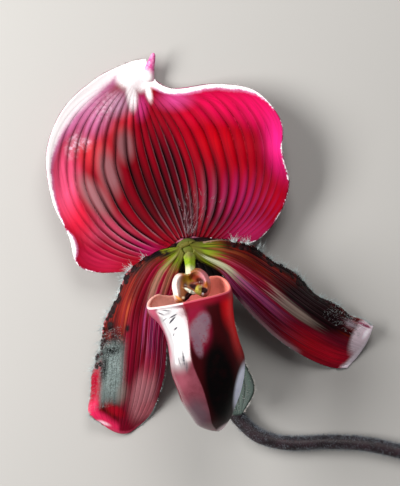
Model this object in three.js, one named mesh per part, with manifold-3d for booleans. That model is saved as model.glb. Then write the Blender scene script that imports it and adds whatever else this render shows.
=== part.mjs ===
/**
 * A slipper orchid bloom (Paphiopedilum, the dark red kind), picked with a length of its stem and laid
 * face up on a table.
 *
 * The bloom has one broad pleated dorsal sepal, two strap petals that arch down to either side, a fused
 * lower sepal, and a hollow slipper pouch with a sharp front keel. In the mouth of the pouch stand the
 * column, its two anthers and the shield-like staminode. Behind them a ribbed ovary bends down to the
 * table, where a bract wraps its foot and the cut stem runs off to the side.
 *
 * Units are millimetres. In the part's frame +Z is up from the table, +Y runs from the toe of the pouch to
 * the tip of the dorsal sepal, and +X runs along the stem to its cut end. The origin is on the table, under
 * the middle of the part's box. Every piece is written in the bloom's own frame, with its zero at the hub,
 * the point where sepals and petals meet, and +Z towards an eye that looks into the face of the bloom.
 */
import * as THREE from "three";
import { mergeVertices } from "three/addons/utils/BufferGeometryUtils.js";
import Module from "manifold-3d";

const wasm = await Module();
wasm.setup();

// ---------------------------------------------------------------------------------------------------------
// Driving sizes
// ---------------------------------------------------------------------------------------------------------

/** Height of the hub over the table, and the hub's place over the footprint. */
const HUB_HEIGHT = 16.2;
const HUB = new THREE.Vector3(-20.5, 3.0, HUB_HEIGHT);

/** Clear gap between pieces that grow from one another. */
const SEAM_GAP = 0.35;

/** The receptacle, the round top of the ovary that sepals, petals and column grow from. */
const RECEPTACLE_RADIUS = 3.1;
const RECEPTACLE_TOP = new THREE.Vector3(-0.7, -0.3, 1.5);

/** How the pouch and the column lean round the viewing axis, away from -Y, and their shift along X. */
const LIP_LEAN = THREE.MathUtils.degToRad(12);
const LIP_SHIFT = -2;

/** Sepals and petals: thickness in the middle and at the margin. */
const BLADE_MIDDLE = 1.1;
const BLADE_MARGIN = 0.7;

/** The wall of the pouch. */
const POUCH_WALL = 1.0;

/** The cut stem, which lies on the table. */
const STEM_RADIUS = 1.75;
const STEM_Z = STEM_RADIUS - HUB_HEIGHT - 0.12;

const DEGREE = Math.PI / 180;
const { clamp, lerp, smoothstep } = THREE.MathUtils;

// ---------------------------------------------------------------------------------------------------------
// Helpers: curves, closed skins and solids
// ---------------------------------------------------------------------------------------------------------

/** A smooth curve through [x, y, z] points, with equal shares of its parameter between them. */
function curveThrough(points) {
  return new THREE.CatmullRomCurve3(
    points.map((point) => new THREE.Vector3(...point)),
    false,
    "catmullrom",
  );
}

/** `count` + 1 numbers from `start` to `end`. */
function steps(start, end, count) {
  return Array.from({ length: count + 1 }, (_, i) => lerp(start, end, i / count));
}

/** `count` angles in equal shares of a full turn, from 0. */
function turns(count) {
  return Array.from({ length: count }, (_, i) => (2 * Math.PI * i) / count);
}

/** A bell of height 1 round `centre`, which falls to 1/e at `width` from it. */
function bell(x, centre, width) {
  return Math.exp(-(((x - centre) / width) ** 2));
}

/** Values at `key` in a table of rows [key, ...values] with rising keys: a smooth curve through the rows. */
function tableAt(table, key) {
  const held = clamp(key, table[0][0], table.at(-1)[0]);
  const next = Math.max(
    1,
    table.findIndex((row) => row[0] >= held),
  );
  const [before, low, high, after] = [next - 2, next - 1, next, next + 1].map(
    (i) => table[clamp(i, 0, table.length - 1)],
  );
  const span = high[0] - low[0];
  const s = (held - low[0]) / span;
  return low.slice(1).map((_, i) => {
    const slope = (from, to) => (span * (to[i + 1] - from[i + 1])) / (to[0] - from[0]);
    const [startSlope, endSlope] = [slope(before, high), slope(low, after)];
    const [start, end] = [low[i + 1], high[i + 1]];
    return (
      start * (1 + 2 * s) * (1 - s) ** 2 +
      startSlope * s * (1 - s) ** 2 +
      end * s * s * (3 - 2 * s) -
      endSlope * s * s * (1 - s)
    );
  });
}

/** A closed skin of shared points, with its faces turned outwards. */
function skinGeometry(points, triangles) {
  const [a, b, c] = [new THREE.Vector3(), new THREE.Vector3(), new THREE.Vector3()];
  const volume = triangles.reduce((sum, [i, j, k]) => {
    [a, b, c].forEach((corner, n) => corner.copy(points[[i, j, k][n]]));
    return sum + a.dot(b.cross(c)) / 6;
  }, 0);
  const outwards = volume < 0 ? triangles.map(([i, j, k]) => [i, k, j]) : triangles;
  const geometry = new THREE.BufferGeometry().setFromPoints(points);
  geometry.setIndex(outwards.flat());
  return geometry;
}

/** The skin through closed rings of points, with a point in the middle of each end. */
function ringGeometry(rings, turnedUntil = 0) {
  const sides = rings[0].length;
  const middle = (ring) =>
    ring.reduce((sum, point) => sum.add(point), new THREE.Vector3()).divideScalar(sides);
  const points = [...rings.flat(), middle(rings[0]), middle(rings.at(-1))];
  const at = (row, side) => row * sides + (side % sides);
  const triangles = [];
  for (let side = 0; side < sides; side++) {
    triangles.push([at(0, side + 1), at(0, side), points.length - 2]);
    triangles.push([at(rings.length - 1, side), at(rings.length - 1, side + 1), points.length - 1]);
    for (let row = 0; row < rings.length - 1; row++) {
      const [a, b] = [at(row, side), at(row, side + 1)];
      const [c, d] = [at(row + 1, side + 1), at(row + 1, side)];
      triangles.push(...(row < turnedUntil ? [[a, b, d], [b, c, d]] : [[a, b, c], [a, c, d]]));
    }
  }
  return skinGeometry(points, triangles);
}

/** A closed geometry as a solid. */
function solidOf(geometry) {
  const bare = new THREE.BufferGeometry();
  bare.setAttribute("position", geometry.attributes.position);
  bare.setIndex(geometry.index);
  const merged = mergeVertices(bare, 1e-4);
  return new wasm.Manifold(
    new wasm.Mesh({
      numProp: 3,
      vertProperties: new Float32Array(merged.attributes.position.array),
      triVerts: new Uint32Array(merged.index.array),
    }),
  );
}

/** A solid as a geometry with flat normals. */
function geometryOf(solid) {
  const mesh = solid.getMesh();
  const geometry = new THREE.BufferGeometry();
  geometry.setAttribute("position", new THREE.BufferAttribute(mesh.vertProperties, 3));
  geometry.setIndex(new THREE.BufferAttribute(mesh.triVerts, 1));
  geometry.computeVertexNormals();
  return geometry;
}

/** The solid above the table: whatever would reach through it is cut off flat. */
function aboveTable(solid) {
  const room = new THREE.BoxGeometry(400, 400, 100);
  room.translate(0, 0, 50 - HUB_HEIGHT);
  return solid.intersect(solidOf(room));
}

/** A round-sectioned body along a curve: radiusAt(share, angle) is its radius. */
function sweptGeometry(curve, stations, sides, radiusAt) {
  const frames = curve.computeFrenetFrames(stations);
  const rings = steps(0, 1, stations).map((share, i) => {
    const centre = curve.getPointAt(share);
    return turns(sides).map((angle) => {
      const radius = radiusAt(share, angle);
      return centre
        .clone()
        .addScaledVector(frames.normals[i], radius * Math.cos(angle))
        .addScaledVector(frames.binormals[i], radius * Math.sin(angle));
    });
  });
  return ringGeometry(rings);
}

/** A round lump with few faces, `size` across its three half axes, turned and then placed. */
function lumpGeometry(size, place, turn = new THREE.Euler(), detail = 8) {
  const lump = new THREE.SphereGeometry(1, detail, Math.ceil(detail / 2));
  lump.scale(...size);
  lump.rotateX(turn.x).rotateY(turn.y).rotateZ(turn.z);
  lump.translate(...place);
  return lump;
}

// ---------------------------------------------------------------------------------------------------------
// Blades: sepals and petals
// ---------------------------------------------------------------------------------------------------------

/**
 * The sheet through three curves: u runs along them from 0 to 1, and t across them, from -1 on the left
 * margin over 0 on the midrib to 1 on the right margin. Each row across is a parabola.
 */
function sheetThrough({ left, midrib, right }) {
  const curves = [left, midrib, right].map(curveThrough);
  return (u, t) => {
    const [start, middle, end] = curves.map((curve) => curve.getPoint(u));
    return start
      .multiplyScalar((t * t - t) / 2)
      .addScaledVector(middle, 1 - t * t)
      .addScaledVector(end, (t * t + t) / 2);
  };
}

/** A thin curved blade on a sheet: its relief raises it off the sheet, towards its face. */
class Blade {
  constructor({ sheet, relief = () => 0, middle = BLADE_MIDDLE, margin = BLADE_MARGIN }) {
    Object.assign(this, { sheet, relief, middle, margin });
  }

  /** The sheet's unit normal, on the side of the blade's face. */
  normal(u, t) {
    const step = 1e-3;
    const across = this.sheet(u, Math.min(t + step, 1)).sub(this.sheet(u, Math.max(t - step, -1)));
    const along = this.sheet(Math.min(u + step, 1), t).sub(this.sheet(Math.max(u - step, 0), t));
    return across.cross(along).normalize();
  }

  /** A point of the face (side = 1), the back (side = -1) or between them. */
  point(u, t, side) {
    const half = lerp(this.middle, this.margin, t * t) / 2;
    return this.sheet(u, t).addScaledVector(this.normal(u, t), this.relief(u, t) + side * half);
  }

  /** The closed skin, with the face and the back split into triangles alike. */
  geometry(rows, columns) {
    const points = [1, -1].flatMap((side) =>
      rows.flatMap((u) => columns.map((t) => this.point(u, t, side))),
    );
    const [lastRow, lastColumn] = [rows.length - 1, columns.length - 1];
    const face = (row, column) => row * columns.length + column;
    const back = (row, column) => face(row + rows.length, column);
    const triangles = [];
    const quad = (a, b, c, d) => triangles.push([a, b, c], [a, c, d]);
    for (let row = 0; row < lastRow; row++) {
      for (let column = 0; column < lastColumn; column++) {
        const corners = [
          [row, column],
          [row, column + 1],
          [row + 1, column + 1],
          [row + 1, column],
        ];
        const [a, b, c, d] = corners.map((corner) => back(...corner));
        quad(...corners.map((corner) => face(...corner)));
        triangles.push([a, c, b], [a, d, c]);
      }
      quad(face(row, 0), face(row + 1, 0), back(row + 1, 0), back(row, 0));
      quad(
        back(row, lastColumn),
        back(row + 1, lastColumn),
        face(row + 1, lastColumn),
        face(row, lastColumn),
      );
    }
    for (let column = 0; column < lastColumn; column++) {
      quad(back(0, column), back(0, column + 1), face(0, column + 1), face(0, column));
      quad(
        face(lastRow, column),
        face(lastRow, column + 1),
        back(lastRow, column + 1),
        back(lastRow, column),
      );
    }
    return skinGeometry(points, triangles);
  }
}

/** Columns across a blade: one on each vein and one on each crest between, closer near the midrib. */
function veinColumns(veins, crowding) {
  const half = steps(0, 1, 2 * veins).map((share) => share ** (1 / crowding));
  return [...half.slice(1).reverse().map((t) => -t), ...half];
}

/** Depth of the groove over the vein nearest to t, from 0 on a crest to 1 on a vein. */
function veinGroove(t, veins, crowding) {
  const phase = veins * Math.abs(t) ** crowding;
  return (0.5 + 0.5 * Math.cos(2 * Math.PI * phase)) ** 2;
}

// The dorsal sepal ----------------------------------------------------------------------------------------

const DORSAL_VEINS = 11;
const DORSAL_CROWDING = 0.85;
const DORSAL_PLEAT_DEPTH = 0.5;

function dorsalSepalBlade() {
  return new Blade({
    sheet: sheetThrough({
      midrib: [
        [-1.5, 3.6, -1.8],
        [-3.5, 11.6, -5.6],
        [-6.8, 21.4, -10.6],
        [-9.9, 30.8, -14.7],
        [-11.8, 39.4, -16.0],
        [-11.0, 46.2, -13.8],
      ],
      left: [
        [-3.9, 2.0, -1.8],
        [-13.4, -4.5, -5.4],
        [-23.0, -5.8, -8.4],
        [-29.2, -3.6, -8.4],
        [-31.4, 3.8, -6.8],
        [-35.6, 12.7, -7.6],
        [-36.8, 24.7, -5.4],
        [-32.7, 35.7, -7.0],
        [-24.7, 43.6, -10.0],
        [-16.4, 48.0, -12.6],
        [-11.9, 49.0, -12.8],
      ],
      right: [
        [1.2, 3.3, -1.8],
        [8.5, 2.6, -4.4],
        [15.6, 2.0, -7.6],
        [21.5, 7.9, -9.0],
        [24.6, 16.2, -7.0],
        [22.8, 24.7, -4.4],
        [22.5, 32.8, -6.6],
        [16.1, 40.5, -9.6],
        [6.1, 42.4, -11.6],
        [-4.4, 41.3, -13.4],
        [-9.9, 43.4, -14.2],
      ],
    }),
    relief: (u, t) => {
      const shoulder = (t < 0 ? 2.6 : 1.4) * bell(Math.abs(t), 0.5, 0.3) * Math.sin(Math.PI * u) ** 0.8;
      const pleats = smoothstep(1 - u, 0.06, 0.4) * (1 - 0.45 * Math.abs(t));
      return shoulder - DORSAL_PLEAT_DEPTH * pleats * veinGroove(t, DORSAL_VEINS, DORSAL_CROWDING);
    },
  });
}

/** The broad pleated sepal at the top, with the small hooked point at its tip. */
function dorsalSepal() {
  const blade = solidOf(
    dorsalSepalBlade().geometry(steps(0, 1, 20), veinColumns(DORSAL_VEINS, DORSAL_CROWDING)),
  );
  const hook = curveThrough([
    [-11.2, 44.2, -14.0],
    [-10.8, 46.8, -13.2],
    [-10.3, 48.7, -12.0],
    [-9.6, 50.4, -10.6],
  ]);
  const point = sweptGeometry(hook, 6, 8, (share, angle) => {
    const flattened = 1 - 0.45 * Math.sin(angle) ** 2;
    return lerp(2.2, 0.4, share) * flattened;
  });
  return aboveTable(blade.add(solidOf(point)));
}

// The petals ----------------------------------------------------------------------------------------------

const PETAL_VEINS = 5;
const PETAL_CROWDING = 1;
const PETAL_PLEAT_DEPTH = 0.3;

/** Relief that both petals share: a fold along the middle, veins that fade to the tip, and a ruffled margin. */
function petalRelief(u, t, ruffledMargin) {
  const fold = 0.8 * bell(t, 0.1 * ruffledMargin, 0.22);
  const veins = PETAL_PLEAT_DEPTH * (1 - u ** 2) * veinGroove(t, PETAL_VEINS, PETAL_CROWDING);
  const ruffle = 0.7 * Math.max(0, t * ruffledMargin) ** 4 * Math.sin(9.5 * Math.PI * u);
  return (fold + ruffle) * Math.sin(Math.PI * u) - veins;
}

function leftPetalBlade() {
  return new Blade({
    sheet: sheetThrough({
      midrib: [
        [-4.2, -0.6, 0.5],
        [-9.6, -4.6, 0.6],
        [-13.6, -13.0, -1.2],
        [-15.4, -23.7, -4.8],
        [-16.8, -35.2, -10.0],
        [-18.6, -47.2, -15.4],
      ],
      left: [
        [-3.6, -2.6, 0.5],
        [-6.0, -7.5, -0.6],
        [-6.4, -15.1, -2.6],
        [-6.3, -23.3, -6.2],
        [-7.2, -32.7, -11.0],
        [-10.4, -41.7, -15.4],
        [-14.9, -46.4, -16.5],
      ],
      right: [
        [-3.9, 1.4, 0.5],
        [-10.2, -1.2, -0.8],
        [-16.3, -6.5, -3.4],
        [-20.5, -15.4, -7.0],
        [-23.7, -24.9, -9.8],
        [-25.6, -34.2, -11.6],
        [-26.5, -41.4, -12.0],
        [-23.0, -44.8, -13.2],
      ],
    }),
    relief: (u, t) => petalRelief(u, t, 1),
  });
}

function rightPetalBlade() {
  return new Blade({
    sheet: sheetThrough({
      midrib: [
        [2.9, -0.7, 0.5],
        [10.2, -3.4, 0.7],
        [18.2, -9.2, -1.0],
        [27.0, -16.0, -4.8],
        [35.9, -21.5, -10.2],
        [44.1, -25.0, -15.2],
      ],
      left: [
        [2.5, 1.5, 0.5],
        [8.0, 2.9, -0.4],
        [13.9, 1.2, -2.8],
        [20.6, -2.5, -6.2],
        [27.5, -7.6, -9.6],
        [34.0, -12.7, -12.2],
        [40.0, -16.3, -12.9],
        [44.2, -18.2, -12.4],
        [46.4, -19.5, -12.0],
      ],
      right: [
        [2.2, -2.8, 0.5],
        [7.4, -5.8, -0.8],
        [10.7, -11.1, -3.0],
        [16.0, -17.2, -6.0],
        [22.8, -23.3, -9.4],
        [29.9, -27.9, -13.0],
        [36.0, -30.4, -16.2],
        [39.9, -30.6, -16.5],
      ],
    }),
    relief: (u, t) => petalRelief(u, t, -1),
  });
}

/** Warts stand along one margin of a petal, on its face: [share of the length, t, radius]. */
function withWarts(blade, solid, warts) {
  return warts.reduce((grown, [u, t, radius]) => {
    const place = blade.point(u, t, 1).toArray();
    return grown.add(solidOf(lumpGeometry([radius, radius, radius * 0.8], place, undefined, 6)));
  }, solid);
}

/** Places for warts between two shares of a petal's length, their sizes drawn by a seeded formula. */
function wartRow(start, end, count, margin) {
  return steps(start, end, count - 1).map((u, i) => {
    const draw = Math.abs(Math.sin(12.9898 * (i + 1) + 4.1 * margin) * 43758.5453) % 1;
    return [u, margin * lerp(0.86, 0.97, draw), lerp(0.45, 0.8, (draw * 7.3) % 1)];
  });
}

function petal(blade, ruffledMargin) {
  const columns = veinColumns(PETAL_VEINS, PETAL_CROWDING);
  const solid = solidOf(blade.geometry(steps(0, 1, 20), columns));
  return aboveTable(withWarts(blade, solid, wartRow(0.14, 0.66, 11, ruffledMargin)));
}

// The lower sepal -----------------------------------------------------------------------------------------

/** The two lower sepals, grown together into one pointed blade behind the pouch. */
function lowerSepalBlade() {
  return new Blade({
    sheet: sheetThrough({
      midrib: [
        [0.1, -3.9, -1.8],
        [2.4, -12.1, -5.2],
        [4.8, -22.4, -7.6],
        [7.9, -32.6, -8.3],
        [11.6, -42.1, -8.6],
      ],
      left: [
        [2.2, -3.0, -1.8],
        [7.0, -9.1, -4.4],
        [10.7, -18.3, -6.4],
        [13.0, -27.4, -7.0],
        [15.9, -35.0, -7.2],
        [12.8, -41.7, -8.4],
      ],
      right: [
        [-2.4, -3.6, -1.8],
        [-4.5, -10.6, -4.4],
        [-4.7, -20.3, -6.2],
        [-0.8, -31.5, -7.2],
        [6.5, -39.1, -8.0],
        [10.7, -42.1, -8.6],
      ],
    }),
    relief: (u, t) => -0.25 * (1 - u) * veinGroove(t, 4, 1),
    middle: 1.0,
  });
}

function lowerSepal() {
  return solidOf(lowerSepalBlade().geometry(steps(0, 1, 14), veinColumns(4, 1)));
}

// ---------------------------------------------------------------------------------------------------------
// The pouch, in its own leaning frame: +Y up the pouch to the hub, +Z to its front
// ---------------------------------------------------------------------------------------------------------

/** Levels up the pouch, from the toe to the hub: [y, middle x, half width, back z, front z]. */
const POUCH_LEVELS = [
  [-44.3, -0.9, 1.6, 10.8, 13.9],
  [-42.4, -1.5, 3.4, 8.6, 16.6],
  [-40.0, -1.2, 5.3, 6.6, 18.8],
  [-36.0, -0.7, 7.3, 4.6, 21.2],
  [-32.0, -0.1, 8.4, 3.4, 22.8],
  [-28.0, 0.2, 9.0, 2.7, 23.6],
  [-24.0, 0.2, 8.6, 2.4, 23.8],
  [-20.0, 0.1, 8.5, 2.4, 23.3],
  [-16.0, -0.3, 9.2, 2.4, 22.5],
  [-12.0, -0.9, 10.4, 2.6, 21.0],
  [-8.0, -0.4, 8.0, 2.4, 17.4],
  [-3.6, 1.1, 2.6, 0.6, 8.0],
];

/** The rim's height round the pouch: [degrees from the front, y]. */
const POUCH_RIM = [
  [0, -12.5],
  [60, -12.0],
  [85, -11.2],
  [112, -9.0],
  [135, -7.9],
  [155, -7.6],
  [180, -3.6],
];

/** How far the keel down the front stands from the middle, in shares of the half width. */
const POUCH_KEEL_SHIFT = -0.15;

/** A point of the pouch's wall, `inset` inside its outer face: share 0 is the rim and 1 the toe. */
function pouchPoint(share, angle, inset) {
  const turn = (angle > Math.PI ? 2 * Math.PI - angle : angle) / DEGREE;
  const [rim] = tableAt(POUCH_RIM, turn);
  const y = lerp(rim, POUCH_LEVELS[0][0] + inset, share);
  const [middle, halfWidth, back, front] = tableAt(POUCH_LEVELS, y);
  const sharpness = lerp(0.85, 0.35, smoothstep(-y, 25, 43));
  const pointed = Math.sqrt(Math.max(0, 1 - Math.abs(Math.sin(angle))));
  const depth = turn < 90 ? lerp(Math.cos(angle), pointed, sharpness) : Math.cos(angle);
  const width = Math.max(halfWidth - inset, 0.3);
  const reach = Math.max((front - back) / 2 - inset, 0.3);
  return new THREE.Vector3(
    middle + width * (Math.sin(angle) + POUCH_KEEL_SHIFT * Math.max(0, depth)),
    y,
    (back + front) / 2 + reach * depth,
  );
}

/** The slipper: an open cup with a keel down its front, raised side lobes and a claw to the hub. */
function pouch() {
  const angles = turns(40);
  const levels = steps(0, 1, 13).map((share) => share ** 0.9);
  const wall = (inset) => levels.map((share) => angles.map((angle) => pouchPoint(share, angle, inset)));
  const inside = wall(POUCH_WALL).reverse();
  return solidOf(ringGeometry([...inside, ...wall(0)], inside.length));
}

// ---------------------------------------------------------------------------------------------------------
// The column and what it carries, in the pouch's frame
// ---------------------------------------------------------------------------------------------------------

/** The column: a short neck from the receptacle, with the stigma's disc under its end. */
function column() {
  const neck = curveThrough([
    [1.2, -0.1, RECEPTACLE_TOP.z + SEAM_GAP],
    [1.2, -0.1, 3.6],
    [0.7, -3.2, 6.5],
    [0.2, -7.0, 7.6],
  ]);
  const body = sweptGeometry(neck, 8, 12, (share) => lerp(2.3, 1.8, share) + 0.4 * bell(share, 0, 0.2));
  const stigma = lumpGeometry([2.3, 2.8, 0.9], [0.1, -8.4, 6.6], new THREE.Euler(-0.5, 0, 0), 12);
  return solidOf(body).add(solidOf(stigma));
}

/** One of the two anthers, a waxy bead at the side of the column. */
function anther(side) {
  const place = [0.3 + side * 3.5, -6.9, 7.4];
  return solidOf(lumpGeometry([1.15, 1.6, 1.1], place, new THREE.Euler(0, 0, side * 0.4), 10));
}

const STAMINODE_CENTRE = new THREE.Vector3(0.1, -8.5, 10.6);
const STAMINODE_RADIUS = 4.8;
const STAMINODE_TILT = -0.2;

/** How far an angle is from the middle of the staminode's lower edge, in radians. */
function fromNotch(angle) {
  return angle > Math.PI ? 2 * Math.PI - angle : angle;
}

/** The staminode's outline: two lobes on top, two horns below and a tooth between them. */
function staminodeRadius(angle) {
  const turn = fromNotch(angle);
  const notch = 3.1 * Math.exp(-((turn / 0.62) ** 4));
  const tooth = 1.0 * bell(turn, 0, 0.17);
  const dimple = 1.2 * bell(turn, Math.PI, 0.3);
  return STAMINODE_RADIUS - notch + tooth - dimple;
}

/** The staminode's face: a raised horseshoe round a sunk middle. */
function staminodeHeight(share, angle) {
  const open = 1 - 0.8 * bell(fromNotch(angle), 0, 0.45);
  const horseshoe = 1.6 * bell(share, 0.74, 0.24) * open;
  const boss = 0.7 * bell(share, 0, 0.3);
  return 0.5 + horseshoe + boss - 0.9 * share ** 4;
}

/** The staminode: a shield that closes the back of the mouth, like a small horseshoe. */
function staminode() {
  const shares = [0.18, 0.42, 0.62, 0.8, 0.93, 1];
  const ring = (share, height) =>
    turns(32).map((angle) => {
      const radius = share * staminodeRadius(angle);
      return new THREE.Vector3(-radius * Math.sin(angle), -radius * Math.cos(angle), height(share, angle));
    });
  const back = shares.map((share) => ring(share, () => -0.7 + 0.3 * share));
  const face = shares.toReversed().map((share) => ring(share, staminodeHeight));
  const shield = ringGeometry([...back, ...face]);
  shield.rotateX(STAMINODE_TILT);
  shield.translate(...STAMINODE_CENTRE);
  return solidOf(shield);
}

// ---------------------------------------------------------------------------------------------------------
// The ovary, its bract and the stem, in the bloom's frame
// ---------------------------------------------------------------------------------------------------------

const OVARY_LINE = [
  RECEPTACLE_TOP.toArray(),
  [-0.7, -0.4, -3.0],
  [0.0, -3.6, -7.8],
  [1.8, -11.5, -11.8],
  [4.4, -21.0, -12.6],
  [6.9, -30.5, -13.4],
  [9.3, -38.0, STEM_Z],
];

/** The ovary's radius: the receptacle on top, the swollen middle, and a foot as thick as the stem. */
function ovaryRadius(share) {
  const club = 2.2 + 0.5 * bell(share, 0.48, 0.24);
  const grown = lerp(RECEPTACLE_RADIUS, club, smoothstep(share, 0.05, 0.16));
  return lerp(grown, STEM_RADIUS, smoothstep(share, 0.72, 1));
}

/** The ovary: a six-ribbed club that carries the bloom. */
function ovary() {
  const body = sweptGeometry(curveThrough(OVARY_LINE), 24, 24, (share, angle) => {
    const ribs = 0.26 * Math.cos(6 * angle) * bell(share, 0.5, 0.25);
    return ovaryRadius(share) + ribs;
  });
  return aboveTable(solidOf(body));
}

/** The bract: a pointed sheath that wraps the foot of the ovary from above. */
function bract() {
  const line = curveThrough(OVARY_LINE);
  const [foot, tip] = [0.985, 0.6];
  const thickness = 0.8;
  const along = line.getPointAt(tip).sub(line.getPointAt(foot)).normalize();
  const above = new THREE.Vector3(0.55, 0, 1).projectOnPlane(along).normalize();
  const aside = new THREE.Vector3().crossVectors(along, above);
  const blade = new Blade({
    sheet: (u, t) => {
      const share = lerp(foot, tip, u);
      const wrap = lerp(92, 8, u ** 1.7) * DEGREE * t;
      const radius = ovaryRadius(share) + 0.1 + SEAM_GAP + thickness / 2 + 0.4 * u ** 2;
      return line
        .getPointAt(share)
        .addScaledVector(above, radius * Math.cos(wrap))
        .addScaledVector(aside, radius * Math.sin(wrap));
    },
    middle: thickness,
  });
  return aboveTable(solidOf(blade.geometry(steps(0, 1, 12), steps(-1, 1, 14))));
}

const STEM_LINE = [
  [9.48, -38.56, STEM_Z],
  [10.5, -41.3, STEM_Z],
  [12.9, -44.4, STEM_Z],
  [17.4, -48.0, STEM_Z],
  [24.6, -49.8, STEM_Z],
  [34.6, -49.5, STEM_Z],
  [44.8, -50.1, STEM_Z],
  [54.6, -52.2, STEM_Z],
  [66.0, -54.6, STEM_Z],
  [78.6, -55.4, STEM_Z],
];

/** The stem, lying along the table to its slanting cut. */
function stem() {
  const body = solidOf(sweptGeometry(curveThrough(STEM_LINE), 30, 12, () => STEM_RADIUS));
  const cutOff = new THREE.BoxGeometry(20, 20, 20);
  cutOff.translate(10, 0, 0);
  cutOff.rotateZ(-0.5);
  cutOff.translate(77.2, -55.4, STEM_Z);
  return aboveTable(body.subtract(solidOf(cutOff)));
}

// ---------------------------------------------------------------------------------------------------------
// Finishes and assembly
// ---------------------------------------------------------------------------------------------------------

const FINISHES = {
  sepal: { color: 0xb8124c, roughness: 0.5 },
  petal: { color: 0x9c1238, roughness: 0.42 },
  lowerSepal: { color: 0xb9bfa6, roughness: 0.55 },
  pouch: { color: 0x8e0f2c, roughness: 0.22 },
  column: { color: 0x9cc043, roughness: 0.4 },
  staminode: { color: 0xd99a8e, roughness: 0.35 },
  anther: { color: 0xd8cf86, roughness: 0.5 },
  ovary: { color: 0x7d6b52, roughness: 0.65 },
  bract: { color: 0x7f8a5c, roughness: 0.6 },
  stem: { color: 0x54363c, roughness: 0.7 },
};

/** A named mesh of a solid in one of the finishes. */
function piece(name, solid, finish) {
  const material = new THREE.MeshStandardMaterial({ metalness: 0, ...FINISHES[finish] });
  const mesh = new THREE.Mesh(geometryOf(solid), material);
  mesh.name = name;
  return mesh;
}

const lip = new THREE.Group();
lip.rotation.z = LIP_LEAN;
lip.translateX(LIP_SHIFT);
lip.add(
  piece("pouch", pouch(), "pouch"),
  piece("column", column(), "column"),
  piece("staminode", staminode(), "staminode"),
  piece("anther_left", anther(-1), "anther"),
  piece("anther_right", anther(1), "anther"),
);

const bloom = new THREE.Group();
bloom.position.copy(HUB);
bloom.add(
  piece("dorsal_sepal", dorsalSepal(), "sepal"),
  piece("petal_left", petal(leftPetalBlade(), 1), "petal"),
  piece("petal_right", petal(rightPetalBlade(), -1), "petal"),
  piece("lower_sepal", lowerSepal(), "lowerSepal"),
  piece("ovary", ovary(), "ovary"),
  piece("bract", bract(), "bract"),
  piece("stem", stem(), "stem"),
  lip,
);

export default bloom;
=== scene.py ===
"""Looks of a picked slipper orchid bloom that lies face up on a table.

Every sepal, petal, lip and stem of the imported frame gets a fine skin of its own, with pleats, warts and
hairs, and a procedural finish. Lengths in this file are millimetres in the bloom's own frame, whose zero is
the hub, where sepals and petals meet. They become metres in the shared frame when a mesh is written.
"""

import logging
import math
from collections.abc import Callable, Sequence
from dataclasses import dataclass
from enum import Enum
from typing import TypeVar

import bpy
import numpy as np
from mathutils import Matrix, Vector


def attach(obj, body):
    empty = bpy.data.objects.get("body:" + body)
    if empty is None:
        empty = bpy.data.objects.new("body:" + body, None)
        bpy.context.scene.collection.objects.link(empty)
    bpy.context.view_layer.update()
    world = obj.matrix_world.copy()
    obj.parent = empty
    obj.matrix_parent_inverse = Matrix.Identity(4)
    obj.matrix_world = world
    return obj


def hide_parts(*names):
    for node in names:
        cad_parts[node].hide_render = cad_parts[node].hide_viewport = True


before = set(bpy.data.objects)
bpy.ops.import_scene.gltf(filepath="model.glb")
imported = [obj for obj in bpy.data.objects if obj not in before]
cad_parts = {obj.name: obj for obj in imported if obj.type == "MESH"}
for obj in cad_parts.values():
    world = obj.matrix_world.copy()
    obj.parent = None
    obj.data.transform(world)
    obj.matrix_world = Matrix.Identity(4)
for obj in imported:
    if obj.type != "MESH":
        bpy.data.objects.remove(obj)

LOG = logging.getLogger("orchid")

Kind = TypeVar("Kind")
Array = np.ndarray
Piece = bpy.types.Object
Material = bpy.types.Material
Pair = tuple[float, float]
Triple = tuple[float, float, float]
Tint = tuple[float, float, float, float]
Points = Sequence[Triple]

MM = 0.001
HUB = np.array((-20.5, 3.0, 16.2))
FLOOR = -HUB[2]
TABLE_GAP = 0.01
HAIR_GAP = 0.3
FAR = 1e3
NEAR = 2e-3
SAMPLES = 400
BLACK = 0x000000
BODY = "root"


class Slot(Enum):
    """The record's material slots."""

    SEPAL = "sepal"
    PETAL = "petal"
    LOWER_SEPAL = "lower_sepal"
    POUCH = "pouch"
    COLUMN = "column"
    STAMINODE = "staminode"
    ANTHER = "anther"
    OVARY = "ovary"
    BRACT = "bract"
    STEM = "stem"


# ---- Numbers: curves, bells and tables ----


def bell(x: Array | float, centre: float, width: float) -> Array:
    """A bell of height 1 round centre, which falls to 1/e at width from it."""
    return np.exp(-(((np.asarray(x, float) - centre) / width) ** 2))


def smooth(x: Array | float, low: float, high: float) -> Array:
    """A smooth step from 0 at low to 1 at high."""
    s = np.clip((np.asarray(x, float) - low) / (high - low), 0, 1)
    return s * s * (3 - 2 * s)


def unit(vectors: Array) -> Array:
    """The vectors at length 1."""
    return vectors / np.maximum(np.linalg.norm(vectors, axis=-1, keepdims=True), 1e-9)


def rounded(share: Array, power: int) -> Array:
    """1 along a body and 0 at both its ends, which are blunter with a higher power."""
    return np.sqrt(np.clip(1 - np.abs(share * 2 - 1) ** power, 0, 1))


def turned(x: Array, y: Array, angle: float) -> tuple[Array, Array]:
    """The places x and y of a plane, turned by an angle in radians."""
    cosine, sine = math.cos(angle), math.sin(angle)
    return x * cosine - y * sine, x * sine + y * cosine


def each(kind: type[Kind], *rows: tuple[float, ...]) -> tuple[Kind, ...]:
    """One object of a kind for each row of its fields."""
    return tuple(kind(*row) for row in rows)


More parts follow.
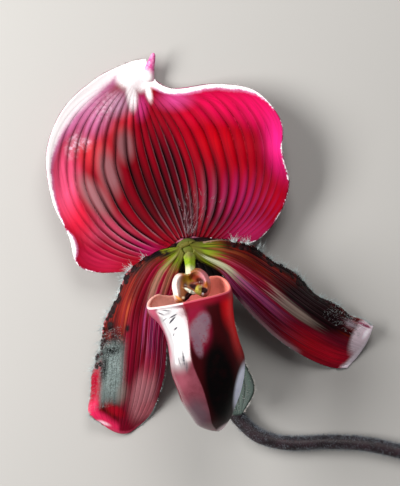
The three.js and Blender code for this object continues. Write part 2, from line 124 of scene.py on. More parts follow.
def table_at(table: Sequence[Sequence[float]], key: Array) -> Array:
    """Values at keys in a table with rising keys, on a smooth curve through its rows.

    Args:
        table: Rows of a key and its values.
        key: The keys to look up.

    Returns:
        The values, one row for each key.
    """
    rows = np.array(table, float)
    keys, values = rows[:, 0], rows[:, 1:]
    held = np.clip(np.asarray(key, float), keys[0], keys[-1])
    high = np.clip(np.searchsorted(keys, held, side="left"), 1, len(keys) - 1)
    low, before, after = high - 1, np.maximum(high - 2, 0), np.minimum(high + 1, len(keys) - 1)
    span = keys[high] - keys[low]
    s = ((held - keys[low]) / span)[..., None]
    start_slope = (values[high] - values[before]) * (span / (keys[high] - keys[before]))[..., None]
    end_slope = (values[after] - values[low]) * (span / (keys[after] - keys[low]))[..., None]
    return (
        values[low] * (1 + 2 * s) * (1 - s) ** 2
        + start_slope * s * (1 - s) ** 2
        + values[high] * s * s * (3 - 2 * s)
        - end_slope * s * s * (1 - s)
    )


@dataclass(frozen=True)
class Curve:
    """A smooth curve through points, with equal shares of its parameter between them."""

    points: Points

    def at(self, share: Array) -> Array:
        """Points at shares of the parameter, carried on a little past both ends.

        Args:
            share: The shares.

        Returns:
            The points.
        """
        knots = np.array(self.points, float)
        padded = np.vstack([2 * knots[0] - knots[1], knots, 2 * knots[-1] - knots[-2]])
        place = np.asarray(share, float) * (len(knots) - 1)
        index = np.clip(np.floor(place).astype(int), 0, len(knots) - 2)
        s = (place - index)[..., None]
        a, b, c, d = (padded[index + i] for i in range(4))
        return b + 0.5 * s * (c - a + s * (2 * a - 5 * b + 4 * c - d + s * (3 * (b - c) + d - a)))

    def even(self, share: Array) -> Array:
        """Points at shares of the length.

        Args:
            share: The shares.

        Returns:
            The points.
        """
        fine = np.linspace(0, 1, SAMPLES)
        walked = np.concatenate([[0], np.cumsum(np.linalg.norm(np.diff(self.at(fine), axis=0), axis=1))])
        return self.at(np.interp(np.clip(share, 0, 1), walked / walked[-1], fine))

    def around(
        self, angle: Array, share: Array, radius: Array, up: Triple = (0, 0, 1), flat: float = 1.0
    ) -> tuple[Array, Array]:
        """Points round the curve.

        Args:
            angle: Their angles from its side.
            share: Their shares of the length.
            radius: Their distances from it.
            up: The way that the upward vectors lean to.
            flat: A factor on the distances along the upward vectors.

        Returns:
            The points, and the ways out of the curve.
        """
        tangent = unit(self.even(share + NEAR) - self.even(share - NEAR))
        side = unit(np.cross(tangent, np.array(up, float)))
        above = np.cross(side, tangent)
        outward = side * np.cos(angle)[:, None] + above * (np.sin(angle) * flat)[:, None]
        return self.even(share) + outward * radius[:, None], outward


# ---- Modelling ----


def deselect_all() -> None:
    """Leaves object mode with nothing selected."""
    if bpy.context.object and bpy.context.object.mode != "OBJECT":
        bpy.ops.object.mode_set(mode="OBJECT")
    bpy.ops.object.select_all(action="DESELECT")


def chosen(piece: Piece) -> None:
    """Leaves object mode with this piece alone selected.

    Args:
        piece: The piece.
    """
    deselect_all()
    piece.select_set(True)
    bpy.context.view_layer.objects.active = piece


def added(name: str, operator: Callable[..., set], **settings: object) -> Piece:
    """A new primitive with its own mesh, named.

    Args:
        name: Its name.
        operator: The operator that adds it.
        settings: Its size and place.

    Returns:
        The piece.
    """
    deselect_all()
    operator(**settings)
    piece = bpy.context.object
    piece.name = piece.data.name = name
    return piece


def grid(name: str, columns: int, rows: int) -> Piece:
    """A flat grid from -1 to 1 along X and Y, whose UV map runs from 0 to 1 over it."""
    return added(name, bpy.ops.mesh.primitive_grid_add, x_subdivisions=columns, y_subdivisions=rows, size=2)


def corners(piece: Piece) -> Array:
    """The piece's vertices as they are stored, in metres of the shared frame."""
    return np.array([vertex.co[:] for vertex in piece.data.vertices], float)


def shape(piece: Piece, points: Array) -> None:
    """Moves the piece's vertices to points, as they are stored."""
    piece.data.vertices.foreach_set("co", points.astype(np.float32).ravel())
    piece.data.update()


def place(piece: Piece, points: Array) -> None:
    """Moves the piece's vertices to points of the bloom's frame, and keeps them off the table."""
    held = np.maximum(points, (-FAR, -FAR, FLOOR + TABLE_GAP))
    shape(piece, (held + HUB) * MM)


def placed(piece: Piece) -> Array:
    """The piece's vertices in the bloom's frame, in millimetres."""
    return corners(piece) / MM - HUB


def applied(piece: Piece, kind: str, **settings: object) -> None:
    """Adds a modifier with its settings to the piece and applies it.

    Args:
        piece: The piece.
        kind: The modifier's type.
        settings: Its settings.
    """
    chosen(piece)
    modifier = piece.modifiers.new(kind.title(), kind)
    for key, value in settings.items():
        setattr(modifier, key, value)
    bpy.ops.object.modifier_apply(modifier=modifier.name)


def edited(piece: Piece, *operators: Callable[[], set]) -> None:
    """Runs operators on the whole piece in edit mode.

    Args:
        piece: The piece.
        operators: The operators, in order.
    """
    chosen(piece)
    bpy.ops.object.mode_set(mode="EDIT")
    bpy.ops.mesh.select_all(action="SELECT")
    for operator in operators:
        operator()
    bpy.ops.object.mode_set(mode="OBJECT")


def welded(piece: Piece, gap: float = 1e-3) -> None:
    """Merges the piece's vertices that lie closer than gap millimetres and turns its faces outwards.

    Args:
        piece: The piece.
        gap: The widest gap that closes.
    """
    edited(
        piece,
        lambda: bpy.ops.mesh.remove_doubles(threshold=gap * MM),
        lambda: bpy.ops.mesh.normals_make_consistent(inside=False),
    )


def write_attribute(piece: Piece, name: str, values: Array) -> None:
    """Stores one number for each vertex of the piece under a name that shaders read."""
    attribute = piece.data.attributes.new(name, "FLOAT", "POINT")
    attribute.data.foreach_set("value", np.asarray(values, np.float32))


def vertex_uv(piece: Piece) -> Array:
    """The UV place of each vertex, from any one of its corners.

    Args:
        piece: The piece.

    Returns:
        One place for each vertex.
    """
    loops = len(piece.data.loops)
    uv = np.empty(loops * 2, np.float32)
    piece.data.uv_layers.active.data.foreach_get("uv", uv)
    index = np.empty(loops, np.int32)
    piece.data.loops.foreach_get("vertex_index", index)
    found = np.zeros((len(piece.data.vertices), 2))
    found[index] = uv.reshape(-1, 2)
    return found


def tube(name: str, columns: int, rows: int, surface: Callable[[Array, Array], Array]) -> Piece:
    """A grid rolled into a closed body and welded along its seam and at its poles.

    Args:
        name: The piece's name.
        columns: Faces round it.
        rows: Faces along it.
        surface: Points for angles from 0 to a full turn and shares along it from 0 to 1.

    Returns:
        The piece.
    """
    piece = grid(name, columns, rows)
    flat = corners(piece)
    place(piece, surface((flat[:, 0] + 1) * math.pi, (flat[:, 1] + 1) / 2))
    welded(piece)
    return piece


def dressed(piece: Piece, material: Material, slot: Slot, *nodes: str) -> None:
    """Gives a piece its material and its place in the frame.

    Args:
        piece: The finished mesh.
        material: Its finish.
        slot: The record's slot of that finish; not used.
        nodes: The CAD nodes that it stands for.
    """
    piece.data.materials.clear()
    piece.data.materials.append(material)
    piece.data.polygons.foreach_set("use_smooth", [True] * len(piece.data.polygons))
    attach(piece, BODY)
    if nodes:
        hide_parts(*nodes)
    LOG.info("%s: %d faces", piece.name, len(piece.data.polygons))


# ---- Shader maths ----


def tint(colour: "Colour") -> "Tint | Value":
    """A colour as sockets take it.

    Args:
        colour: 0xRRGGBB as on screen, or a value.

    Returns:
        The linear colour, or the value.
    """
    if isinstance(colour, Value):
        return colour
    parts = [((colour >> shift) & 255) / 255 for shift in (16, 8, 0)]
    linear = [part / 12.92 if part <= 0.04045 else ((part + 0.055) / 1.055) ** 2.4 for part in parts]
    return (*linear, 1.0)


class Value:
    """A number that varies over a surface, which takes part in Python arithmetic."""

    def __init__(self, shader: "Shader", socket: bpy.types.NodeSocket) -> None:
        """Wraps an output socket of a shader."""
        self.shader = shader
        self.socket = socket

    def _math(self, operation: str, *others: "Value | float") -> "Value":
        """The Math node of this value and others."""
        inputs = dict(enumerate([self, *others]))
        return self.shader.node("ShaderNodeMath", {"operation": operation}, inputs)

    def _flipped(self, operation: str, other: "Value | float") -> "Value":
        """The Math node with the other number first."""
        return self.shader.node("ShaderNodeMath", {"operation": operation}, {0: other, 1: self})

    def __add__(self, other: "Value | float") -> "Value":
        """This value plus the other."""
        return self._math("ADD", other)

    def __sub__(self, other: "Value | float") -> "Value":
        """This value less the other."""
        return self._math("SUBTRACT", other)

    def __rsub__(self, other: float) -> "Value":
        """The number less this value."""
        return self._flipped("SUBTRACT", other)

    def __mul__(self, other: "Value | float") -> "Value":
        """This value times the other."""
        return self._math("MULTIPLY", other)

    def __truediv__(self, other: "Value | float") -> "Value":
        """This value over the other."""
        return self._math("DIVIDE", other)

    def __rtruediv__(self, other: float) -> "Value":
        """The number over this value."""
        return self._flipped("DIVIDE", other)

    def __abs__(self) -> "Value":
        """This value without its sign."""
        return self._math("ABSOLUTE")

    __radd__ = __add__
    __rmul__ = __mul__

    def fraction(self) -> "Value":
        """How far this value is past the whole number below it."""
        return self._math("FRACT")

    def hashed(self) -> "Value":
        """A random number from 0 to 1 of this value's own."""
        return self.shader.node("ShaderNodeTexWhiteNoise", {"noise_dimensions": "1D"}, {"W": self})

    def at_least(self, low: "Value | float") -> "Value":
        """This value, or low where it is less."""
        return self._math("MAXIMUM", low)

    def at_most(self, high: "Value | float") -> "Value":
        """This value, or high where it is more."""
        return self._math("MINIMUM", high)

    def step(self, low: "Value | float", high: "Value | float") -> "Value":
        """A smooth step from 0 at low to 1 at high, which may be the lower one."""
        sockets = {"Value": self, "From Min": low, "From Max": high, "To Min": 0.0, "To Max": 1.0}
        return self.shader.node("ShaderNodeMapRange", {"interpolation_type": "SMOOTHSTEP"}, sockets)


Colour = int | Value


@dataclass(frozen=True)
class Patch:
    """An oval patch of colour over a place of the bloom: millimetres from the hub, and degrees."""

    x: float
    y: float
    wide: float
    tall: float
    turn: float = 0.0
    colour: int = BLACK
    strength: float = 1.0
    softness: float = 1.0


Patches = tuple[Patch, ...]


class Shader:
    """A material in the making: its nodes, its principled shader and the values that drive it."""

    def __init__(self, name: str, **constants: object) -> None:
        """Starts a material.

        Args:
            name: The material's name.
            constants: Settings of the principled shader that are the same all over, with _ for a space.
        """
        self.material = bpy.data.materials.new(name)
        self.material.use_nodes = True
        self.tree = self.material.node_tree
        self.principled = self.tree.nodes["Principled BSDF"]
        for key, value in constants.items():
            self.principled.inputs[key.replace("_", " ").title().replace("Ior", "IOR")].default_value = value

    def node(
        self, kind: str, settings: dict[str, object], sockets: dict[str | int, object], output: int = 0
    ) -> Value:
        """Adds a node.

        Args:
            kind: The node's type.
            settings: Its properties, which are set first.
            sockets: Values or links of its inputs, by name or number.
            output: The number of the output that is wanted.

        Returns:
            That output.
        """
        made = self.tree.nodes.new(kind)
        for key, value in settings.items():
            setattr(made, key, value)
        for key, value in sockets.items():
            if isinstance(value, Value):
                self.tree.links.new(value.socket, made.inputs[key])
            else:
                made.inputs[key].default_value = value
        return Value(self, made.outputs[output])

    def feed(self, socket: str, value: Value) -> None:
        """Links a value to a socket of the principled shader."""
        self.tree.links.new(value.socket, self.principled.inputs[socket])

    def mix(self, factor: Value | float, first: Colour, second: Colour) -> Value:
        """The colour between first, at 0, and second, at 1."""
        sockets = {0: factor, 6: tint(first), 7: tint(second)}
        return self.node("ShaderNodeMix", {"data_type": "RGBA"}, sockets, 2)

    def coated(self, colour: Colour, *coats: tuple[Value | float, Colour]) -> Colour:
        """The colour with coats laid over it in order.

        Args:
            colour: The colour underneath.
            coats: For each coat, how much of it lies over a place, and its colour.

        Returns:
            The colour that is seen.
        """
        for amount, coat in coats:
            colour = self.mix(amount, colour, coat)
        return colour

    def attribute(self, name: str) -> Value:
        """The number that the piece stores under a name."""
        return self.node("ShaderNodeAttribute", {"attribute_name": name}, {}, 2)

    def object_place(self) -> Value:
        """The place in the shared frame."""
        return self.node("ShaderNodeTexCoord", {}, {}, 3)

    def height(self) -> Value:
        """The height over the hub, in millimetres."""
        return self.node("ShaderNodeSeparateXYZ", {}, {0: self.object_place()}, 2) / MM - float(HUB[2])

    def noise(self, size: float, detail: float = 3.0) -> Value:
        """Noise round 0.5 whose lumps are about size millimetres across.

        Args:
            size: The lumps' width.
            detail: How many finer layers it has.

        Returns:
            The noise.
        """
        where, scale = self.object_place(), 1 / (size * MM)
        sockets = {"Vector": where, "Scale": scale, "Detail": detail, "Roughness": 0.6}
        return self.node("ShaderNodeTexNoise", {}, sockets)

    def patch(self, patch: Patch) -> Value:
        """How much of a patch lies over a place.

        Args:
            patch: The patch.

        Returns:
            A number from 0 to its strength.
        """
        sockets = {
            "Vector": self.object_place(),
            "Location": ((HUB[0] + patch.x) * MM, (HUB[1] + patch.y) * MM, 0.0),
            "Rotation": (0.0, 0.0, math.radians(patch.turn)),
            "Scale": (patch.wide * MM, patch.tall * MM, FAR),
        }
        local = self.node("ShaderNodeMapping", {"vector_type": "TEXTURE"}, sockets)
        reach = self.node("ShaderNodeVectorMath", {"operation": "LENGTH"}, {0: local}, 1)
        return reach.step(1.0, 1.0 - patch.softness) * patch.strength

    def covered(self, patches: Patches) -> Value:
        """How much of the patches lies over a place.

        Args:
            patches: The patches.

        Returns:
            The most of any one's.
        """
        amount = self.patch(patches[0])
        for patch in patches[1:]:
            amount = amount.at_least(self.patch(patch))
        return amount

    def painted(
        self, colour: Colour, patches: Patches, waver: Value | None = None, within: Value | None = None
    ) -> Colour:
        """The colour with patches laid over it in order.

        Args:
            colour: The colour underneath.
            patches: The patches.
            waver: Noise that breaks up their edges.
            within: How much of them may show.

        Returns:
            The colour that is seen.
        """
        for patch in patches:
            amount = self.patch(patch)
            if waver is not None:
                amount = amount * (waver * 0.9 + 0.55).at_most(1.0)
            if within is not None:
                amount = amount * within
            colour = self.mix(amount, colour, patch.colour)
        return colour

    def bump(self, height: Value, distance: float, strength: float) -> None:
        """Raises the surface by height times distance millimetres in the shader's normal."""
        sockets = {"Height": height, "Distance": distance * MM, "Strength": strength}
        self.feed("Normal", self.node("ShaderNodeBump", {}, sockets))


@dataclass(frozen=True)
class MottledFinish:
    """Two colours in soft blotches, with patches over them and a fine grain."""

    name: str
    first: int
    second: int
    size: float
    edges: Pair = (0.35, 0.7)
    roughness: float = 0.5
    specular: float = 0.5
    waxy: Pair = (0.0, 50.0)
    grain: Triple = (0.5, 0.12, 0.6)
    patches: Patches = ()

    def over(self, shader: Shader, colour: Colour) -> Colour:
        """The colour with what lies over the blotches."""
        return shader.painted(colour, self.patches)

    def material(self) -> Material:
        """The finish as a material.

        Returns:
            The material.
        """
        weight, depth = self.waxy
        wax = {"subsurface_weight": weight, "subsurface_scale": depth * MM}
        shader = Shader(self.name, roughness=self.roughness, specular_ior_level=self.specular, **wax)
        blotches = shader.mix(shader.noise(self.size).step(*self.edges), self.first, self.second)
        shader.feed("Base Color", self.over(shader, blotches))
        size, distance, strength = self.grain
        shader.bump(shader.noise(size), distance, strength)
        return shader.material


# ---- Hairs and warts ----


def hair_template() -> Piece:
    """One upright hair of unit length and unit radius, three-sided and closed.

    Returns:
        The hair.
    """
    cone = {"vertices": 3, "radius1": 1, "radius2": 0, "depth": 1, "location": (0, 0, 0.5)}
    hair = added("hair", bpy.ops.mesh.primitive_cone_add, **cone)
    bpy.ops.object.transform_apply(location=True)
    for height in (0.35, 0.7):
        edited(hair, lambda: bpy.ops.mesh.bisect(plane_co=(0, 0, height), plane_no=(0, 0, 1)))
    points = corners(hair)
    points[:, :2] *= (1 + 0.6 * bell(points[:, 2], 0.35, 0.3))[:, None]
    shape(hair, points)
    return hair


def wart_template() -> Piece:
    """One wart of unit radius: a low mound that is pinched where it sits.

    Returns:
        The wart.
    """
    wart = added("wart", bpy.ops.mesh.primitive_uv_sphere_add, segments=12, ring_count=8, radius=1)
    points = corners(wart)
    points[:, :2] *= (1 - 0.25 * smooth(-points[:, 2], 0.2, 1.0))[:, None]
    points[:, 2] *= 0.5
    shape(wart, points)
    return wart


class Repeats:
    """Copies of one modelled template, gathered and written as a single mesh."""

    def __init__(self, name: str, template: Callable[[], Piece]) -> None:
        """Models the template and keeps its points and faces.

        Args:
            name: The name of the mesh.
            template: Models the template.
        """
        self.name = name
        model = template()
        self.points = corners(model)
        self.faces = [tuple(polygon.vertices) for polygon in model.data.polygons]
        bpy.data.objects.remove(model)
        self.copies: list[Array] = []

    def grow(
        self, roots: Array, ways: Array, sizes: Array, lengths: Array, bends: Array | None = None
    ) -> None:
        """Adds copies.

        Args:
            roots: Where each copy stands, in millimetres.
            ways: The way that each copy points.
            sizes: The radius of each copy.
            lengths: The length of each copy.
            bends: The way that the end of each copy bends to, its length times how far.
        """
        ways = unit(ways)
        helper = np.where(np.abs(ways[:, 2:3]) < 0.9, (0.0, 0.0, 1.0), (1.0, 0.0, 0.0))
        side = unit(np.cross(ways, helper))
        other = np.cross(ways, side)
        x, y, z = (self.points[None, :, i, None] for i in range(3))
        radius, length = np.asarray(sizes)[:, None, None], np.asarray(lengths)[:, None, None]
        spread = radius * (x * side[:, None] + y * other[:, None])
        copies = roots[:, None] + spread + length * z * ways[:, None]
        if bends is not None:
            copies = copies + length * z**2 * bends[:, None]
        self.copies.append(copies.reshape(-1, 3))

    def built(self) -> Piece:
        """The copies as one piece.

        Returns:
            The piece.
        """
        points = np.vstack(self.copies)
        count, size = len(points) // len(self.points), len(self.points)
        faces = [tuple(i * size + v for v in face) for i in range(count) for face in self.faces]
        mesh = bpy.data.meshes.new(self.name)
        mesh.from_pydata(np.zeros((len(points), 3)), [], faces)
        piece = bpy.data.objects.new(self.name, mesh)
        bpy.context.scene.collection.objects.link(piece)
        place(piece, points)
        return piece


class Hairs(Repeats):
    """A coat of hairs."""

    def __init__(self, name: str, seed: int) -> None:
        """Starts a coat with its own seeded draw."""
        super().__init__(name, hair_template)
        self.draw = np.random.default_rng(seed)

    def sprout(self, roots: Array, ways: Array, length: Pair, radius: float, spread: float = 0.35) -> None:
        """Grows one hair at each root.

        Args:
            roots: Where the hairs stand.
            ways: The ways that they point, about.
            length: The shortest and the longest hair.
            radius: The hairs' radius at the root.
            spread: How far the hairs stray from their ways.
        """
        count = len(roots)
        ways = unit(unit(ways) + self.draw.normal(0, spread, (count, 3)))
        lengths = self.draw.uniform(*length, count)
        bends = self.draw.normal(0, 0.22, (count, 3))
        sizes = radius * self.draw.uniform(0.75, 1.2, count)
        self.grow(roots - 0.05 * ways, ways, sizes, lengths, bends)


@dataclass(frozen=True)
class HairFinish:
    """Pale hair, darker at places along it."""

    name: str = "pale_hair"
    dark: int = 0xA8A29C
    pale: int = 0xF4F2EE

    def material(self) -> Material:
        """The hair's material.

        Returns:
            The material.
        """
        shader = Shader(self.name, roughness=0.4, specular_ior_level=0.6)
        shader.feed("Base Color", shader.mix(shader.noise(1.2).step(0.3, 0.7), self.dark, self.pale))
        return shader.material


# ---- Blades: what sepals and petals share ----


@dataclass
class Blade:
    """A thin curved blade on a sheet through three curves.

    The share along it runs from 0 at the base to 1 at the tip. The share across it, t, runs from -1 on the
    left margin over 0 on the midrib to 1 on the right margin.
    """

    name: str
    node: str
    left: Points
    midrib: Points
    right: Points
    veins: int
    columns: int
    rows: int
    middle: float = 1.1
    margin: float = 0.7
    start: float = 0.0

    def relief(self, u: Array, t: Array) -> Array:
        """How far the blade is raised off its sheet towards its face."""
        return np.zeros_like(u)

    def sheet(self, u: Array, t: Array) -> Array:
        """Points of the sheet.

        Args:
            u: Shares along the blade.
            t: Shares across it.

        Returns:
            The points.
        """
        left, middle, right = (Curve(points).at(u) for points in (self.left, self.midrib, self.right))
        t = np.asarray(t, float)[..., None]
        return left * (t * t - t) / 2 + middle * (1 - t * t) + right * (t * t + t) / 2

    def lines(self, u: Array, t: Array) -> tuple[Array, Array]:
        """Derivatives of the sheet along and across.

        Args:
            u: Shares along the blade.
            t: Shares across it.

        Returns:
            Both derivatives.
        """
        step = 1e-3
        low_u, high_u = u - step, np.minimum(u + step, 1)
        low_t, high_t = np.maximum(t - step, -1), np.minimum(t + step, 1)
        along = (self.sheet(high_u, t) - self.sheet(low_u, t)) / (high_u - low_u)[..., None]
        across = (self.sheet(u, high_t) - self.sheet(u, low_t)) / (high_t - low_t)[..., None]
        return along, across

    def normal(self, u: Array, t: Array) -> Array:
        """Unit normals on the side of the blade's face."""
        along, across = self.lines(u, t)
        return unit(np.cross(across, along))

    def point(self, u: Array, t: Array, side: float = 0.0) -> Array:
        """Points of the face (side 1), the back (side -1) or between them."""
        half = (self.middle + (self.margin - self.middle) * t * t) / 2
        return self.sheet(u, t) + self.normal(u, t) * (self.relief(u, t) + side * half)[..., None]

    def phase(self, u: Array, t: Array) -> Array:
        """The count of veins from the midrib, negative on the left: whole numbers lie on veins."""
        return self.veins * t

    def groove(self, u: Array, t: Array) -> Array:
        """Depth of the groove over the nearest vein, from 0 on a crest to 1 on a vein."""
        return (0.5 + 0.5 * np.cos(2 * math.pi * self.phase(u, t))) ** 3.0

    def spacing(self, u: Array, t: Array) -> Array:
        """The distance between neighbouring veins, in millimetres.

        Args:
            u: Shares along the blade.
            t: Shares across it.

        Returns:
            The distances.
        """
        step = 0.004
        low_u, high_u = u - step, u + step
        low_t, high_t = np.maximum(t - step, -1), np.minimum(t + step, 1)
        along, across = self.lines(u, t)
        by_u = (self.phase(high_u, t) - self.phase(low_u, t)) / (high_u - low_u)
        by_t = (self.phase(u, high_t) - self.phase(u, low_t)) / (high_t - low_t)
        tall, wide = (along**2).sum(axis=1), (across**2).sum(axis=1)
        slant = (along * across).sum(axis=1)
        stretch = np.maximum(tall * wide - slant * slant, 1e-6)
        steepness = (by_u**2 * wide - 2 * by_u * by_t * slant + by_t**2 * tall) / stretch
        return 1 / np.sqrt(np.maximum(steepness, 1e-6))

    def skin(self) -> Piece:
        """The blade as a closed shell, with its spacing, edge and side stored for its finish.

        Returns:
            The piece.
        """
        piece = grid(self.name, self.columns, self.rows)
        flat = corners(piece)
        u, t = self.start + (flat[:, 1] + 1) / 2 * (1 - self.start), flat[:, 0]
        place(piece, self.point(u, t))
        thin = self.rounding(u, t)
        group = piece.vertex_groups.new(name="thickness")
        for index, weight in enumerate(thin):
            group.add([index], weight, "REPLACE")
        applied(
            piece, "SOLIDIFY", thickness=self.middle * MM, offset=0.0, vertex_group=group.name, use_rim=True
        )
        piece.vertex_groups.clear()
        place(piece, placed(piece))
        self.mark(piece)
        return piece

    def rounding(self, u: Array, t: Array) -> Array:
        """The blade's thickness in shares of its middle, rounded off towards the margin.

        Args:
            u: Shares along the blade.
            t: Shares across it.

        Returns:
            The shares.
        """
        plain = (self.middle + (self.margin - self.middle) * t * t) / self.middle
        near = np.minimum(self.edge_distance(u, t) / (self.margin / 2), 1)
        return plain * np.sqrt(np.maximum(1 - (1 - near) ** 2, 0.06))

    def edge_distance(self, u: Array, t: Array) -> Array:
        """The distance to the nearest margin, in millimetres.

        Args:
            u: Shares along the blade.
            t: Shares across it.

        Returns:
            The distances.
        """
        shares = np.linspace(0.02, 1, 160)
        tip = np.linspace(-1, 1, 30)
        sides = [self.sheet(shares, np.full(160, side)) for side in (-1.0, 1.0)]
        outline = np.vstack([*sides, self.sheet(np.ones(30), tip)])
        return np.array([np.linalg.norm(outline - point, axis=1).min() for point in self.sheet(u, t)])

    def mark(self, piece: Piece) -> None:
        """Stores each vertex's vein count, vein spacing, distance to the margin and side.

        Args:
            piece: The blade's skin.
        """
        uv = vertex_uv(piece)
        u, t = self.start + uv[:, 1] * (1 - self.start), np.clip(uv[:, 0] * 2 - 1, -1, 1)
        write_attribute(piece, "vein", self.phase(u, t))
        write_attribute(piece, "spacing", np.minimum(self.spacing(u, t), 20))
        write_attribute(piece, "edge", self.edge_distance(u, t))
        offset = placed(piece) - self.point(u, t)
        write_attribute(piece, "facing", np.sign((offset * self.normal(u, t)).sum(axis=1)))


@dataclass(frozen=True)
class Veins:
    """The stripes along a blade's veins, as its finish sees them."""

    line: Value
    # Pale painted highlight along each crest.
    lit_ridge: Value
    across: Value
    along: Value
    edge: Value
    face: Value
    crest: Value
    own: Value

    def grain(self, wide: float, tall: float, detail: float = 2.0) -> Value:
        """Noise round 0.5 that runs with the blade.

        Args:
            wide: The count of its lumps over the half width.
            tall: The count of its lumps over the length.
            detail: How many finer layers it has.

        Returns:
            The noise.
        """
        node = self.across.shader.node
        where = node("ShaderNodeCombineXYZ", {}, {"X": self.across * wide, "Y": self.along * tall})
        return node("ShaderNodeTexNoise", {}, {"Vector": where, "Scale": 1.0, "Detail": detail})


def veins_of(shader: Shader, dark: float, pale: float) -> Veins:
    """Reads a blade's stripes: a dark line at the right of each vein, partly vein colour and partly painted
    shade in the groove, and a pale painted highlight at its left, laid out as light from the left would fall.

    Args:
        shader: The material in the making.
        dark: The width of the dark line, in millimetres.
        pale: The width of the pale line, in millimetres.

    Returns:
        The stripes, each from 0 to 1, and a random number of the blade's own for each pleat.
    """
    uv = shader.node("ShaderNodeUVMap", {"uv_map": "UVMap"}, {})
    across, along = (shader.node("ShaderNodeSeparateXYZ", {}, {0: uv}, axis) for axis in range(2))
    across = across * 2 - 1
    count, spacing = shader.attribute("vein"), shader.attribute("spacing")
    cycle = count.fraction()
    after, before = cycle * spacing, (1 - cycle) * spacing
    narrow = spacing.step(0.3, 2.0) * 0.7 + 0.3
    own = (count - cycle + 0.5).hashed()
    dark_width = narrow * dark * (0.6 + 0.8 * own)
    pale_width = narrow * pale
    # Dark line: vein colour with painted shade on the groove's shaded side.
    line = after.step(dark_width * 1.4, dark_width * 0.5).at_least(before.step(pale_width * 0.5, 0.0))
    # Pale line: a painted highlight on each crest.
    lit_ridge = before.step(pale_width * 0.1, pale_width * 0.6) * before.step(pale_width * 1.8, pale_width)
    face = shader.attribute("facing").step(-0.5, 0.5)
    return Veins(line, lit_ridge, across, along, shader.attribute("edge"), face, cycle, own)


# ---- The dorsal sepal ----


